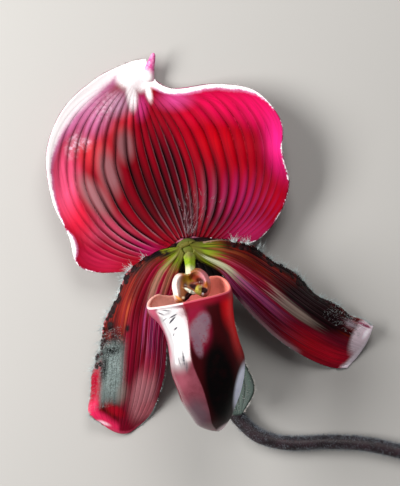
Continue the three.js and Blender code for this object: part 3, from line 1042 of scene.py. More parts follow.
@dataclass(frozen=True)
class DorsalFinish:
    """Satin crimson with dark veins and painted shade in the grooves, pale painted highlights on the crests
    beside them, painted sheen, and a white margin at the tip that also gets a painted glow.
    """

    crimson: int = 0x8C0318
    shade: int = 0x140002
    vein: int = 0x050001
    # Soft vein colour, also painted shade on the groove side of each pleat.
    soft_vein_and_shade: int = 0x6C0418
    # Pale colour of the painted highlights on the crests, and of the pale bristle streaks at the base.
    crest: int = 0xAC7C88
    lilac: int = 0xD888B8
    white: int = 0xFFFAFC
    back: int = 0xA8607A
    # Colour of pale flecks that are painted sparkle of light on the down.
    fleck: int = 0xECC8DC
    ribbed: Patch = Patch(-7.5, 12, 22, 23, 0, 0, 1, 0.5)
    # Where the groove side of each pleat gets painted shade.
    deep: Patch = Patch(-8.5, 14.5, 16.5, 22, 14, 0, 1, 0.9)
    # Where the crests get a painted highlight.
    glow: Patch = Patch(4.5, 11.5, 6.5, 13, 10)
    # Painted sheen: grey bands where the satin reflects the light.
    grey: Patches = each(
        Patch,
        (-25, 13.8, 3.9, 10, 39, 0x905C62, 1.1, 0.8), (-21.2, 19.8, 3.9, 9.5, 17, 0x8A565C, 1.1, 0.8),
        (-17.2, 26.6, 3.6, 6.4, 5, 0x8A565C, 1.1, 0.8),
    )
    downy: Patch = Patch(0, 9, 3.4, 9, 6, 0, 1, 0.9)
    # Painted shade in the grooves near the foot.
    basal_shade: Patch = Patch(-1, 5, 15, 9, 0, 0, 1, 0.9)
    apex: Patch = Patch(-12.4, 44.8, 16, 15, 0, 0, 1, 0.8)
    # Where the pale flecks of painted sparkle lie.
    speckled: Patches = each(
        Patch,
        (-30.2, 26.6, 2.8, 5, -15), (-21.8, 36.6, 4.4, 7, -45, 0, 0.7), (-27, 27, 2.2, 2.8, 0, 0, 0.9),
    )
    # Painted lilac-pink highlight on the crests at the lower right.
    rosy_crest_highlight: Patch = Patch(13, 11, 12, 12, 0, 0xC43C86, 0.7, 0.9)
    border: Patches = each(
        Patch,
        (-28, 38, 24, 14, 48, 0, 2.9), (-30.5, 1, 5, 4, -60, 0, 0.9), (-5, 42.5, 9, 5, -8, 0, 1.9),
        (7, 41, 16, 6, -6, 0, 0.6, 0.8), (-36, 20, 5, 26, 0, 0, 0.5, 0.8),
    )
    tip: Patches = each(
        Patch,
        (-13.6, 46.6, 9, 7.6, 25, 0, 1, 0.6), (-15.6, 40.4, 2.4, 7.4, 5),
        (-11.4, 41, 1.6, 5.2, 14, 0, 0.75), (-8.5, 43.6, 5.5, 3.4, 0, 0, 1, 0.9),
    )
    # The sepal's colours as lit: the near-black patches by the midrib are partly its dark colour and partly
    # painted shade in its valley, and the bright coral and hot-pink patches are partly painted glow of light
    # through the sepal.
    patches: Patches = each(
        Patch,
        (6, 28, 13, 10, -20, 0xB40010, 0.9), (12.5, 22, 6, 12, 5, 0xA40012, 0.9),
        (8, 37.5, 17, 7, -8, 0xE00A50), (17, 36, 9, 8, -30, 0xDC0E5C, 0.9),
        (22.5, 27, 6.5, 14, 8, 0xF42486), (20.5, 13, 6, 8, 10, 0xA60018, 0.95),
        (11.5, 13, 7, 9, 10, 0xA80A46, 0.9), (4.7, 13, 4.5, 10, 8, 0x861238, 0.9),
        (14, 4, 9, 6, 15, 0xCC2464, 0.95), (-1, 34.5, 6, 4.5, -20, 0xC00028, 0.9),
        (-4.5, 38.5, 7, 4, 0, 0xD04488), (-13.4, 37, 3, 5.5, 0, 0xC8387E),
        (-13, 18, 6, 14, 20, 0x70040E, 0.9), (-20, 5, 12, 5.5, -35, 0xB84460),
        (-12, 0.5, 9, 3.5, -18, 0x98104E), (-23.5, -2, 9, 5.5, -15, 0xBC1E46),
        (-25.5, 4, 5, 4, -30, 0xB44060, 0.9), (-29, 8, 5, 10, 25, 0xF02848),
        (-32, 18.5, 5.5, 14, 0, 0xFF5C88, 1.4), (-25, 25, 8, 7, 20, 0xE43A46),
        (-19, 31, 5, 5, 0, 0xD83A44, 0.9), (-31.2, 31.5, 3.4, 6, -25, 0xD8347C),
        (-16.6, 34, 2.6, 4, 0, 0xE03044), (-25, 33.5, 10, 6.5, 45, 0xDA7CAE),
        (-18.5, 37.5, 6, 5, 20, 0xDCA0C4), (-5.5, 22, 4, 12, 16, 0x4A0414, 0.9),
        (-7.5, 11, 9, 13, 20, 0x380308), (-1.2, 8, 4.5, 9.5, 8, 0x280C12),
    )

    def material(self) -> Material:
        """The sepal's material.

        Returns:
            The material.
        """
        shader = Shader("dorsal_satin", specular_ior_level=0.02, emission_strength=0.3)
        veins = veins_of(shader, 0.84, 0.26)
        cloudy, fine = shader.noise(4.0, 4.0), shader.noise(0.5, 3.0)
        inside = veins.edge.step(1.0, 6.0) * (1 - shader.patch(self.apex))
        colour = self.pleated(shader, veins, inside)
        reach = sum((shader.patch(patch) for patch in self.border), 0.12) * veins.along.step(0.06, 0.2)
        ragged = veins.edge + (cloudy - 0.5) + (fine - 0.5) * 0.6
        flecks = shader.noise(0.9, 3.0).step(0.44, 0.64) * 0.6 + 0.2
        colour = shader.mix(ragged.step(reach * 3.0, reach) * 0.8, colour, self.lilac)
        # Pale flecks as painted sparkle of light on the down.
        for patch in self.speckled:
            colour = shader.mix(flecks * shader.patch(patch), colour, self.fleck)
        white = ragged.step(reach * 1.7, reach * 0.6)
        for patch in self.tip:
            amount = shader.patch(patch) * (0.5 + cloudy * 0.5 + fine * 0.5)
            white = white.at_least(amount.step(0.05, 0.85))
        shader.feed("Base Color", shader.mix(veins.face, self.back, shader.mix(white, colour, self.white)))
        # The white margin also gets a painted glow through Emission Color.
        shader.feed("Emission Color", shader.mix(white * veins.face, BLACK, self.white))
        shader.feed("Roughness", 0.45 + fine * 0.16)
        shader.bump(fine * 0.5 + (veins.lit_ridge - veins.line) * inside * 0.5, 0.12, 0.6)
        return shader.material

    def pleated(self, shader: Shader, veins: Veins, inside: Value) -> Colour:
        """The sepal's face within its margin, with painted shade, highlights and sheen on its pleats.

        Args:
            shader: The material in the making.
            veins: The stripes along the sepal's veins.
            inside: How far a place is from the margin and the tip, from 0 to 1.

        Returns:
            Its colour.
        """
        streaks, bristles = veins.grain(60.0, 5.0), veins.grain(170.0, 12.0, 1.0)
        ribbed, back = shader.patch(self.ribbed), 1 - veins.crest
        pale = (ribbed * 0.75 + 0.05) * (0.35 + 0.9 * veins.own)
        colour = shader.coated(
            shader.painted(self.crimson, self.patches, streaks * 0.5 + veins.own * 0.5),
            (streaks.step(0.4, 0.75) * 0.3, self.soft_vein_and_shade),
            # Painted shade on the groove side of each pleat.
            (back.step(0.1, 0.9) * inside * (ribbed * 0.3 + 0.2), self.soft_vein_and_shade),
        )
        return shader.coated(
            # Painted sheen in grey bands.
            shader.painted(colour, self.grey, streaks),
            # Painted highlights on the crests, pale and lilac-pink.
            (veins.crest.step(0.5, 0.95) * shader.patch(self.glow) * 0.5, self.crest),
            (veins.crest.step(0.3, 0.9) * shader.patch(self.rosy_crest_highlight) * 0.7, self.rosy_crest_highlight.colour),
            # Painted shade in the grooves, over the middle and near the foot.
            (back.step(0.1, 0.85) * shader.patch(self.deep) * inside * 0.95, self.shade),
            (back.step(0.45, 0.75) * shader.patch(self.basal_shade) * 0.9, self.shade),
            # Painted highlight: the pale line on each crest.
            (veins.lit_ridge * inside * pale, self.crest),
            # Dark vein lines: vein colour with painted shade in the grooves.
            (veins.line * inside * 0.45, self.soft_vein_and_shade),
            (veins.line * inside * ribbed, self.vein),
            (bristles.step(0.55, 0.7) * shader.patch(self.downy) * 0.45, self.crest),
        )


@dataclass
class DorsalSepal(Blade):
    """The broad pleated sepal at the top, with the small hooked point at its tip."""

    name: str = "dorsal_sepal_skin"
    node: str = "dorsal_sepal"
    midrib: Points = (
        (-1.5, 3.6, -1.8), (-3.5, 11.6, -5.6), (-6.8, 21.4, -10.6),
        (-9.9, 30.8, -14.7), (-11.8, 39.4, -16.0), (-11.0, 46.2, -13.8),
    )
    left: Points = (
        (-3.9, 2.0, -1.8), (-13.4, -4.5, -5.4), (-23.0, -5.8, -8.4), (-29.2, -3.6, -8.4),
        (-31.4, 3.8, -6.8), (-35.6, 12.7, -7.6), (-36.8, 24.7, -5.4), (-32.7, 35.7, -7.0),
        (-24.7, 43.6, -10.0), (-16.4, 48.0, -12.6), (-11.9, 49.0, -12.8),
    )
    right: Points = (
        (1.2, 3.3, -1.8), (8.5, 2.6, -4.4), (15.6, 2.0, -7.6), (21.5, 7.9, -9.0),
        (24.6, 16.2, -7.0), (22.8, 24.7, -4.4), (22.5, 32.8, -6.6), (16.1, 40.5, -9.6),
        (6.1, 42.4, -11.6), (-4.4, 41.3, -13.4), (-9.9, 43.4, -14.2),
    )
    veins: int = 12
    root: Pair = (-0.4, -0.9)
    apex: Pair = (-14.7, 44.4)
    columns: int = 264
    rows: int = 150
    start: float = -0.015
    pleat_depth: float = 0.8
    vein_shift: float = -0.95
    first_vein: float = 0.107
    hook_line: Points = (
        (-11.6, 43.2, -14.0), (-11.0, 46.2, -13.0), (-10.3, 48.6, -11.8), (-9.8, 50.3, -10.6),
    )
    hook_radius: float = 2.1
    hook_taper: float = 1.55
    hook_flat: float = 0.7
    finish: DorsalFinish = DorsalFinish()
    hook_finish: MottledFinish = MottledFinish(
        "hook_pink", 0xDC4898, 0xF69CCC, 0.8, (0.35, 0.65), 0.45,
        grain=(0.5, 0.1, 0.4), patches=each(Patch, (-11.6, 44, 3, 3, 0, 0xFFFAFC, 1, 0.8)),
    )

    def phase(self, u: Array, t: Array) -> Array:
        """Veins run on arcs from the root to the apex, and lie widest apart halfway to the margins.

        Args:
            u: Shares along the blade.
            t: Shares across it.

        Returns:
            The count of veins from the midrib.
        """
        places = self.sheet(u, t)[:, :2]
        to_root, to_apex = np.array(self.root) - places, np.array(self.apex) - places
        turn = to_root[:, 0] * to_apex[:, 1] - to_root[:, 1] * to_apex[:, 0]
        angle = np.arctan2(np.abs(turn), (to_root * to_apex).sum(axis=1))
        half = np.linalg.norm(np.array(self.apex) - self.root) / 2
        height = self.vein_shift - np.sign(turn) * half / np.tan(np.maximum(angle, 0.35) / 2)
        reach = np.linspace(0, 140, 561)
        counted = np.cumsum(0.25 / (1.97 + 1.34 * bell(reach, 13.5, 7.2)))
        return np.sign(height) * np.interp(np.abs(height), reach, counted - counted[0]) + self.first_vein

    def relief(self, u: Array, t: Array) -> Array:
        """Two broad shoulders, and pleats with a steep right side that fade towards the tip and margins.

        Args:
            u: Shares along the blade.
            t: Shares across it.

        Returns:
            The rise.
        """
        rise = np.clip(np.sin(math.pi * u), 0, 1) ** 0.8
        shoulder = np.where(t < 0, 2.6, 1.4) * bell(np.abs(t), 0.5, 0.3) * rise
        cycle = np.mod(self.phase(u, t), 1)
        pleat = smooth(cycle, -0.15, 0.75) * smooth(cycle, 1.0, 0.78)
        strength = smooth(1 - u, 0.05, 0.45) * (1 - np.abs(t) ** 2.5) * smooth(self.spacing(u, t), 0.3, 2.2)
        return shoulder + self.pleat_depth * strength * (pleat - 0.6)

    def hook_points(self, angle: Array, share: Array) -> Array:
        """Points round the small flattened spike at the tip, which is bent towards the face."""
        radius = (self.hook_radius - self.hook_taper * share**0.75) * rounded(share, 8)
        return Curve(self.hook_line).around(angle, share, radius, flat=self.hook_flat)[0]

    def fuzz(self) -> Piece:
        """Short white down along the margins, densest on the left.

        Returns:
            The piece.
        """
        hairs = Hairs("dorsal_sepal_down", 11)
        for side, count, length in ((-1.0, 620, (0.3, 0.8)), (1.0, 240, (0.2, 0.5))):
            u = np.sort(hairs.draw.uniform(0.04, 0.97, count))
            t = np.full(count, side)
            _, across = self.lines(u, t)
            roots = self.point(u, t * 0.997) + hairs.draw.normal(0, 0.12, (count, 3))
            hairs.sprout(roots, unit(across) * side + (0, 0, 0.25), length, 0.045)
        return hairs.built()

    def bristles(self) -> Piece:
        """Combed bristles over the base.

        Returns:
            The piece.
        """
        hairs = Hairs("dorsal_sepal_bristles", 12)
        u, t = hairs.draw.uniform(0.0, 0.34, 130) ** 1.3, hairs.draw.uniform(0.0, 0.5, 130)
        along, _ = self.lines(u, t)
        hairs.sprout(self.point(u, t, 1.0), unit(along) + (0, 0, 0.15), (1.0, 2.8), 0.035, 0.12)
        return hairs.built()

    def build(self) -> None:
        """Makes and dresses the sepal, its hook, its down and its bristles."""
        dressed(self.skin(), self.finish.material(), Slot.SEPAL, self.node)
        hook = tube("dorsal_sepal_hook", 24, 30, self.hook_points)
        dressed(hook, self.hook_finish.material(), Slot.SEPAL)
        dressed(self.fuzz(), HairFinish().material(), Slot.SEPAL)
        dressed(self.bristles(), HairFinish("bristle", 0x5A4448, 0xB49CA4).material(), Slot.SEPAL)


# ---- The petals ----


@dataclass(frozen=True)
class Trim:
    """Colour along a margin: on the outer side (1), the inner side (-1) or both (0), for a stretch of it."""

    side: int
    width: float
    start: float
    end: float
    colour: int
    strength: float = 1.0
    blotch: float = 0.0


@dataclass(frozen=True)
class Band:
    """A streak along a blade: its middle and half width as shares across, and its ends as shares along."""

    middle: float
    half: float
    start: float
    end: float
    colour: int
    strength: float = 1.0


@dataclass(frozen=True)
class PetalFinish:
    """Satin stripes: green at the base, crimson on the inner half and dark maroon on the outer half, darker
    partly as painted shade where that half turns away, with painted highlights on the vein crests.
    """

    petal: "Petal"
    inner: int = 0x8E0C2C
    stripe: int = 0x3E0214
    # Pale stripe colour, also of the painted highlights on the vein crests.
    light: int = 0xC8688E
    # Dark maroon of the outer half, partly painted shade where it turns away.
    outer: int = 0x380204
    ember: int = 0x8A1C08
    green: int = 0x7C9418
    deep_green: int = 0x3C3A02
    pale_green: int = 0xB4BC5C
    # Grey of the hairy field, hair colour with painted sheen of light on the hairs.
    fur: int = 0x8C9A98
    hub: int = 0x666226
    back: int = 0x7C3A3E

    def material(self) -> Material:
        """The petal's material.

        Returns:
            The material.
        """
        petal = self.petal
        shader = Shader(f"{petal.node}_satin", specular_ior_level=0.1, emission_strength=0.3)
        veins = veins_of(shader, 0.26, 0.2)
        streaks, threads = veins.grain(22.0, 4.0, 3.0), veins.grain(30.0, 3.0)
        fine = shader.noise(0.3, 3.0)
        colour = self.striped(shader, veins, streaks, threads)
        waver = (streaks - 0.5) * 0.8 + (fine - 0.5) * 0.6
        for trim in petal.trims:
            colour = shader.mix(self.trimmed(trim, veins, waver), colour, trim.colour)
        # The hairy field: hair colour with painted sheen of light on the hairs.
        fur = shader.noise(0.28, 2.0).step(0.38, 0.62)
        for patch in petal.furry:
            tone = shader.mix(fur, patch.colour, self.fur)
            colour = shader.mix(shader.patch(patch) * (0.3 + 0.5 * fur), colour, tone)
        colour = shader.painted(colour, petal.washes, (threads - 0.5) * 2.5 + (fine - 0.5) * 1.5 + 0.4)
        at_foot = veins.along.step(0.085, 0.035)
        colour = shader.mix(at_foot * 0.75, colour, self.hub)
        shader.feed("Base Color", shader.mix(veins.face, shader.mix(at_foot, self.back, self.hub), colour))
        shader.feed("Emission Color", shader.painted(BLACK, petal.glints, within=veins.face))
        shader.feed("Roughness", 0.36 + fine * 0.2)
        shader.bump(fine * 0.4 + threads * 0.5 - veins.line * 0.4, 0.12, 0.7)
        return shader.material

    def striped(self, shader: Shader, veins: Veins, streaks: Value, threads: Value) -> Colour:
        """The petal's ground, bands and stripes.

        Args:
            shader: The material in the making.
            veins: The stripes along the petal's veins.
            streaks: Broad noise along the petal.
            threads: Narrow noise along the petal.

        Returns:
            Their colour.
        """
        petal, lined = self.petal, shader.patch(self.petal.lined)
        outward = veins.across * petal.outer_side + (streaks - 0.5) * 0.4
        ground = shader.mix(streaks.step(0.4, 0.7), self.outer, self.ember)
        ground = shader.mix(outward.step(0.0, 0.25), self.inner, ground)
        ground = shader.painted(ground, petal.patches, streaks)
        leafy = shader.mix(veins.grain(11.0, 1.5).step(0.4, 0.62), self.deep_green, self.green)
        leafy = shader.mix(veins.line * 0.5, leafy, self.deep_green)
        ragged = veins.along + (streaks - 0.5) * 0.2 + (threads - 0.5) * 0.15
        ground = shader.mix(ragged.step(0.22, 0.1), ground, leafy)
        for band in petal.bands:
            ground = shader.mix(self.banded(band, veins, streaks, threads), ground, band.colour)
        at_base, striae = ragged.step(0.3, 0.12), veins.grain(15.0, 2.0, 1.0)
        dark = shader.mix(at_base, self.stripe, self.deep_green)
        light = shader.mix(at_base, self.light, self.pale_green)
        return shader.coated(
            ground,
            (threads.step(0.5, 0.34) * (lined * 0.2 + 0.35), dark),
            (striae.step(0.49, 0.36) * (lined * 0.5 + 0.15), dark),
            (threads.step(0.55, 0.7) * (lined * 0.6 + 0.06), light),
            (striae.step(0.56, 0.68) * lined * 0.5, light),
            # The dark vein line with painted shade in the groove, then the pale painted highlight on the
            # crest.
            (veins.line * (lined * 0.4 + 0.3), dark),
            (veins.lit_ridge * (lined * 0.75 + 0.04), light),
        )

    def banded(self, band: Band, veins: Veins, streaks: Value, threads: Value) -> Value:
        """How much of a band lies over a place.

        Args:
            band: The band.
            veins: The stripes along the petal's veins.
            streaks: Noise that breaks up its sides.
            threads: Noise that breaks up its ends.

        Returns:
            A number from 0 to its strength.
        """
        aside = abs(veins.across - band.middle + (streaks - 0.5) * band.half * 1.5)
        ends = veins.along + (threads - 0.5) * 0.3
        amount = aside.step(band.half * 1.15, band.half * 0.5)
        amount = amount * ends.step(band.start - 0.05, band.start + 0.05)
        return amount * ends.step(band.end + 0.08, band.end - 0.08) * band.strength

    def trimmed(self, trim: Trim, veins: Veins, waver: Value) -> Value:
        """How much of a trim lies over a place.

        Args:
            trim: The trim.
            veins: The stripes along the petal's veins.
            waver: Noise that breaks up its edges.

        Returns:
            A number from 0 to its strength.
        """
        amount = (veins.edge + waver).step(trim.width * 1.4, trim.width * 0.6) * trim.strength
        if trim.side:
            outward = veins.across * (self.petal.outer_side * trim.side)
            amount = amount * (outward + waver * 0.12).step(0.02, 0.2)
        amount = amount * (veins.along + waver * 0.05).step(trim.start - 0.03, trim.start + 0.03)
        amount = amount * veins.along.step(trim.end + 0.03, trim.end - 0.03)
        if trim.blotch:
            amount = amount * waver.shader.noise(trim.blotch).step(0.4, 0.55)
        return amount


WART_FINISH = MottledFinish(
    "wart_black", 0x0C0304, 0x3A0A10, 0.6, (0.4, 0.75), 0.6, 0.15, grain=(0.25, 0.08, 0.8)
)


@dataclass
class Petal(Blade):
    """A strap petal that arches down, folded along its middle, with warts on its outer margin."""

    veins: int = 7
    columns: int = 150
    rows: int = 220
    start: float = -0.07
    outer_side: int = 1
    pleat_depth: float = 0.12
    fold_height: float = 0.8
    ruffle_height: float = 0.7
    ruffles: float = 9.5
    warts_along: int = 30
    warty: Pair = (0.2, 0.66)
    downy: tuple[float, float, int] = (0.52, 0.87, 800)
    seed: int = 5
    lined: Patch = Patch(0, 0, 1, 1)
    patches: Patches = ()
    trims: tuple[Trim, ...] = ()
    washes: Patches = ()
    bands: tuple[Band, ...] = ()
    furry: Patches = ()
    glints: Patches = ()

    def relief(self, u: Array, t: Array) -> Array:
        """A fold along the middle, veins that fade to the tip, and a ruffled outer margin.

        Args:
            u: Shares along the blade.
            t: Shares across it.

        Returns:
            The rise.
        """
        outward = t * self.outer_side
        arch = np.clip(np.sin(math.pi * u), 0, 1)
        fold = self.fold_height * bell(t, 0.1 * self.outer_side, 0.22)
        ruffle = self.ruffle_height * np.maximum(0, outward) ** 4 * np.sin(self.ruffles * math.pi * u)
        veins = self.pleat_depth * (1 - np.clip(u, 0, 1) ** 2) * self.groove(u, t)
        return (fold + ruffle) * arch - veins

    def wart_places(self) -> tuple[Array, Array, Array]:
        """Where the warts sit along and across, in loose groups on the outer margin, and their radii.

        Returns:
            The shares along, the shares across and the radii.
        """
        draw = np.random.default_rng(self.seed)
        groups = np.linspace(*self.warty, self.warts_along // 3)
        u = np.repeat(groups, 3) + draw.normal(0, 0.012, self.warts_along)
        t = self.outer_side * draw.uniform(0.74, 0.96, self.warts_along)
        return u, t, draw.uniform(0.5, 1.3, self.warts_along)

    def warts(self) -> Piece:
        """The warts.

        Returns:
            The piece.
        """
        copies = Repeats(f"{self.node}_warts", wart_template)
        u, t, radius = self.wart_places()
        normal = self.normal(u, t)
        roots = self.point(u, t, 1.0) - normal * (0.25 * radius)[:, None]
        copies.grow(roots, normal, radius, radius * 0.8)
        return copies.built()

    def cilia(self) -> Piece:
        """Long hairs in tufts by the warts, short ones on both margins, and down near the tip.

        Returns:
            The piece.
        """
        hairs = Hairs(f"{self.node}_hairs", self.seed + 20)
        draw = hairs.draw
        u, t, _ = (np.repeat(values, 12) for values in self.wart_places())
        u, t = u + draw.normal(0, 0.006, len(u)), self.outer_side * draw.uniform(0.93, 1.0, len(t))
        self.sprout_from(hairs, u, t, (1.2, 3.2), 0.04, 0.85)
        u = draw.uniform(0.3, 0.99, 360)
        self.sprout_from(hairs, u, self.outer_side * draw.uniform(0.95, 1.0, 360), (0.4, 1.5), 0.03, 0.85)
        u = draw.uniform(0.15, 0.98, 200)
        self.sprout_from(hairs, u, np.full(200, -self.outer_side * 0.99), (0.3, 0.9), 0.045, 0.9)
        low, high, count = self.downy
        u, t = draw.uniform(low, high, count), self.outer_side * draw.uniform(0.3, 0.95, count)
        self.sprout_from(hairs, u, t, (0.4, 1.1), 0.018, 0.35)
        return hairs.built()

    def sprout_from(self, hairs: Hairs, u: Array, t: Array, length: Pair, radius: float, lean: float) -> None:
        """Grows hairs from places of the face, leaning outwards by a share.

        Args:
            hairs: The coat that they join.
            u: Shares along the blade.
            t: Shares across it.
            length: The shortest and the longest hair.
            radius: The hairs' radius at the root.
            lean: The share.
        """
        _, across = self.lines(u, t)
        outward = unit(across) * np.sign(t)[:, None]
        ways = self.normal(u, t) * (1 - lean) + outward * lean
        hairs.sprout(self.point(u, t, 1.0), ways, length, radius)

    def build(self) -> None:
        """Makes and dresses the petal, its warts and its hairs."""
        dressed(self.skin(), PetalFinish(self).material(), Slot.PETAL, self.node)
        dressed(self.warts(), WART_FINISH.material(), Slot.PETAL)
        hair = HairFinish(f"{self.node}_hair", 0x8E9C9E, 0xE0ECEC)
        dressed(self.cilia(), hair.material(), Slot.PETAL)


# The petal at the left, which hangs down beside the pouch.
LEFT_PETAL = Petal(
    name="petal_left_skin",
    node="petal_left",
    midrib=(
        (-4.2, -0.6, 0.5), (-9.6, -4.6, 0.6), (-13.6, -13.0, -1.2),
        (-15.4, -23.7, -4.8), (-16.8, -35.2, -10.0), (-18.6, -47.2, -15.4),
    ),
    left=(
        (-2.6, -3.0, 0.5), (-3.9, -7.8, -0.6), (-5.6, -15.3, -2.6), (-6.3, -23.3, -6.2),
        (-7.2, -32.7, -11.0), (-10.4, -41.7, -15.4), (-14.9, -46.4, -16.5),
    ),
    right=(
        (-2.8, 0.7, 0.5), (-9.5, -0.7, -0.8), (-16.3, -6.5, -3.4), (-20.5, -15.4, -7.0),
        (-23.7, -24.9, -9.8), (-25.6, -34.2, -11.6), (-26.5, -41.4, -12.0), (-23.0, -44.8, -13.2),
    ),
    outer_side=1,
    seed=5,
    lined=Patch(-9, -23, 5.5, 20, -6, 0, 1, 0.8),
    patches=each(
        Patch,
        (-16, -14, 3, 9.5, -26, 0x8C1408, 0.9), (-12.5, -13.5, 2.4, 10, -24, 0x5C0508, 0.8),
        (-5.4, -8.5, 1.8, 6.5, -8, 0x8A0C26, 0.95, 0.8), (-12.8, -24, 2.6, 9, -6, 0x780A10, 0.9),
        (-9.3, -21, 3, 10, -4, 0xA01850, 0.9), (-6.4, -29, 2, 10, -4, 0xB4103A, 0.9),
    ),
    # The trim (1, 9.2, 0.61, 0.86) is the grey of the hairy field, hair colour with painted sheen of light on
    # the hairs.
    trims=each(
        Trim,
        (1, 2.4, 0.1, 0.34, 0x050103, 1, 2.6), (1, 1.5, 0.34, 0.62, 0x0A0204, 1, 1.6),
        (1, 0.6, 0.3, 0.64, 0xC87078, 0.85, 1.2), (1, 9.2, 0.61, 0.86, 0x606C6A, 0.95),
        (1, 7.6, 0.58, 0.67, 0x0C1210, 0.9, 0.6), (1, 2.7, 0.68, 0.98, 0xA8082C),
        (0, 3.4, 0.92, 1.1, 0x8C0628, 0.9), (1, 2.5, 0.83, 1.1, 0xF02C60),
        (0, 0.9, 0.94, 1.1, 0xE04468, 0.8),
    ),
    # (-22.6, -44.4) is a painted highlight at the curled tip.
    washes=each(
        Patch,
        (-12.6, -37, 4.4, 10, -14, 0xC87C86, 2.2), (-19.5, -41.2, 4.2, 1.9, -31, 0xA00820, 1.6, 0.9),
        (-11.4, -41, 4.8, 3.6, 30, 0xCC6C78, 1.4), (-22.6, -44.4, 2.6, 0.7, -24, 0xFFD0DE, 1.2),
        (-14.2, -10, 2.2, 6.5, -30, 0x580402, 0.9), (-10.8, -29.5, 2.8, 6.5, -8, 0xBC2846, 0.8),
        (-17.8, -36.5, 2.2, 4.5, -10, 0x8C827C, 0.8), (-22.4, -30, 1.5, 6, -8, 0x0A0E0E, 1.2),
        (-20.6, -25.6, 3.6, 1.9, 12, 0x0A0E0E, 1.2), (-14.9, -3.8, 1.9, 1.1, 41, 0x040102, 1.4, 0.9),
        (-18.5, -12.6, 1.1, 1.9, -25, 0x040102, 1.4, 0.9),
        (-20.6, -19.4, 1.3, 2.2, -18, 0x040102, 1.4, 0.9),
        (-16.2, -19.7, 0.9, 1.6, -10, 0x0A0E0E, 1.2, 0.9),
    ),
    # Grey of the hairy field, hair colour with painted sheen of light on the hairs.
    furry=each(
        Patch,
        (-20.2, -31.6, 4.4, 10, -3, 0x4A5654, 1.8), (-20.6, -25.6, 3.6, 3, 10, 0x0C1210, 1.4),
    ),
    glints=each(Patch, (-22.6, -44.4, 2.4, 0.7, -24, 0xB090A0, 1, 0.8)),
    bands=each(
        Band,
        (-0.33, 0.14, -0.1, 0.28, 0x9E9A5A, 0.9), (-0.34, 0.13, 0.2, 0.42, 0xA87A66, 0.9),
        (-0.7, 0.1, 0.1, 0.36, 0xA0805A, 0.5), (0.2, 0.03, 0.4, 0.54, 0xB85830, 0.5),
        (0.36, 0.04, 0.38, 0.5, 0xB04A28, 0.5), (0.1, 0.12, 0.14, 0.42, 0x5C0604, 0.7),
        (-0.3, 0.05, 0.4, 0.6, 0xA8407C, 0.7), (-0.55, 0.06, 0.38, 0.7, 0xA03878, 0.6),
        (0.45, 0.25, 0.12, 0.3, 0x54200A, 0.6),
    ),
)

# The petal at the right, which reaches out and down.
RIGHT_PETAL = Petal(
    name="petal_right_skin",
    node="petal_right",
    midrib=(
        (2.9, -0.7, 0.5), (10.2, -3.4, 0.7), (18.2, -9.2, -1.0),
        (27.0, -16.0, -4.8), (35.9, -21.5, -10.2), (44.1, -25.0, -15.2),
    ),
    left=(
        (2.0, 1.9, 0.5), (7.6, 2.5, -0.4), (13.9, 1.2, -2.8), (20.6, -2.5, -6.2), (27.5, -7.6, -9.6),
        (34.0, -12.7, -12.2), (40.0, -16.3, -12.9), (44.2, -18.2, -12.4), (46.4, -19.5, -12.0),
    ),
    right=(
        (2.2, -2.8, 0.5), (7.4, -5.8, -0.8), (10.7, -11.1, -3.0), (16.0, -17.2, -6.0),
        (22.8, -23.3, -9.4), (29.9, -27.9, -13.0), (36.0, -30.4, -16.2), (39.9, -30.6, -16.5),
    ),
    outer_side=-1,
    seed=8,
    downy=(0.68, 0.92, 260),
    lined=Patch(15, -12.5, 21, 7.5, -40, 0, 1, 0.8),
    # (30, -24.5) and (35.5, -27): bright red, partly painted light on the lower half that faces it; (31,
    # -15): black, partly the upper half's dark colour and partly painted shade where that half turns away.
    patches=each(
        Patch,
        (14, -3, 8, 3.2, -32, 0x5C0E04, 0.9), (22, -8, 6, 2.8, -38, 0x3C0306, 0.9),
        (12, -9, 9, 3, -44, 0xAC245C, 0.9), (13, -13.5, 8, 2.4, -46, 0x8C2468, 0.9),
        (30, -24.5, 12, 5.4, -28, 0xF01028), (35.5, -27, 8, 4, -12, 0xFF1034),
        (31, -15, 13, 5.4, -33, 0x040102, 1, 0.45),
    ),
    # The black trim along the upper margin: partly dark colour and partly painted shade in the gap under the
    # sepal.
    trims=each(
        Trim,
        (1, 2.6, 0.2, 0.84, 0x050103, 0.95, 4.4), (1, 0.3, 0.04, 0.3, 0xB08C78, 0.6),
        (-1, 1.3, 0.38, 0.68, 0xD0A0AC, 0.9), (0, 1.7, 0.94, 1.1, 0xFFF0FC),
    ),
    glints=each(
        Patch,
        (42.9, -22.3, 2.7, 6.4, -24, 0x6C545E, 1, 0.8), (44.4, -21.6, 0.8, 2, -30, 0xD8CCD6, 1, 0.8),
    ),
    # (42.9, -22.3) and (44.6, -21.4): painted highlight over the tip's pale colour.
    washes=each(
        Patch,
        (42.9, -22.3, 2.7, 6.4, -24, 0xF8E4F0, 1.6, 0.7), (44.6, -21.4, 0.8, 2.2, -30, 0xFFF4FF, 1.4),
        (40.6, -19, 2.6, 1.6, -28, 0x9A8A94, 1.2), (44.2, -19.3, 2.6, 0.6, -24, 0x8C1C4C, 1.4, 0.8),
    ),
    bands=each(
        Band,
        (0.36, 0.2, 0.04, 0.32, 0xC4C8A4), (0.36, 0.16, 0.28, 0.56, 0xAC4C8C, 0.8),
        (0.72, 0.1, 0.16, 0.5, 0xA04078, 0.6), (0.02, 0.13, 0.47, 0.7, 0xA89488),
        (-0.5, 0.12, 0.12, 0.3, 0x8A4420, 0.6),
    ),
)


# ---- The lower sepal ----


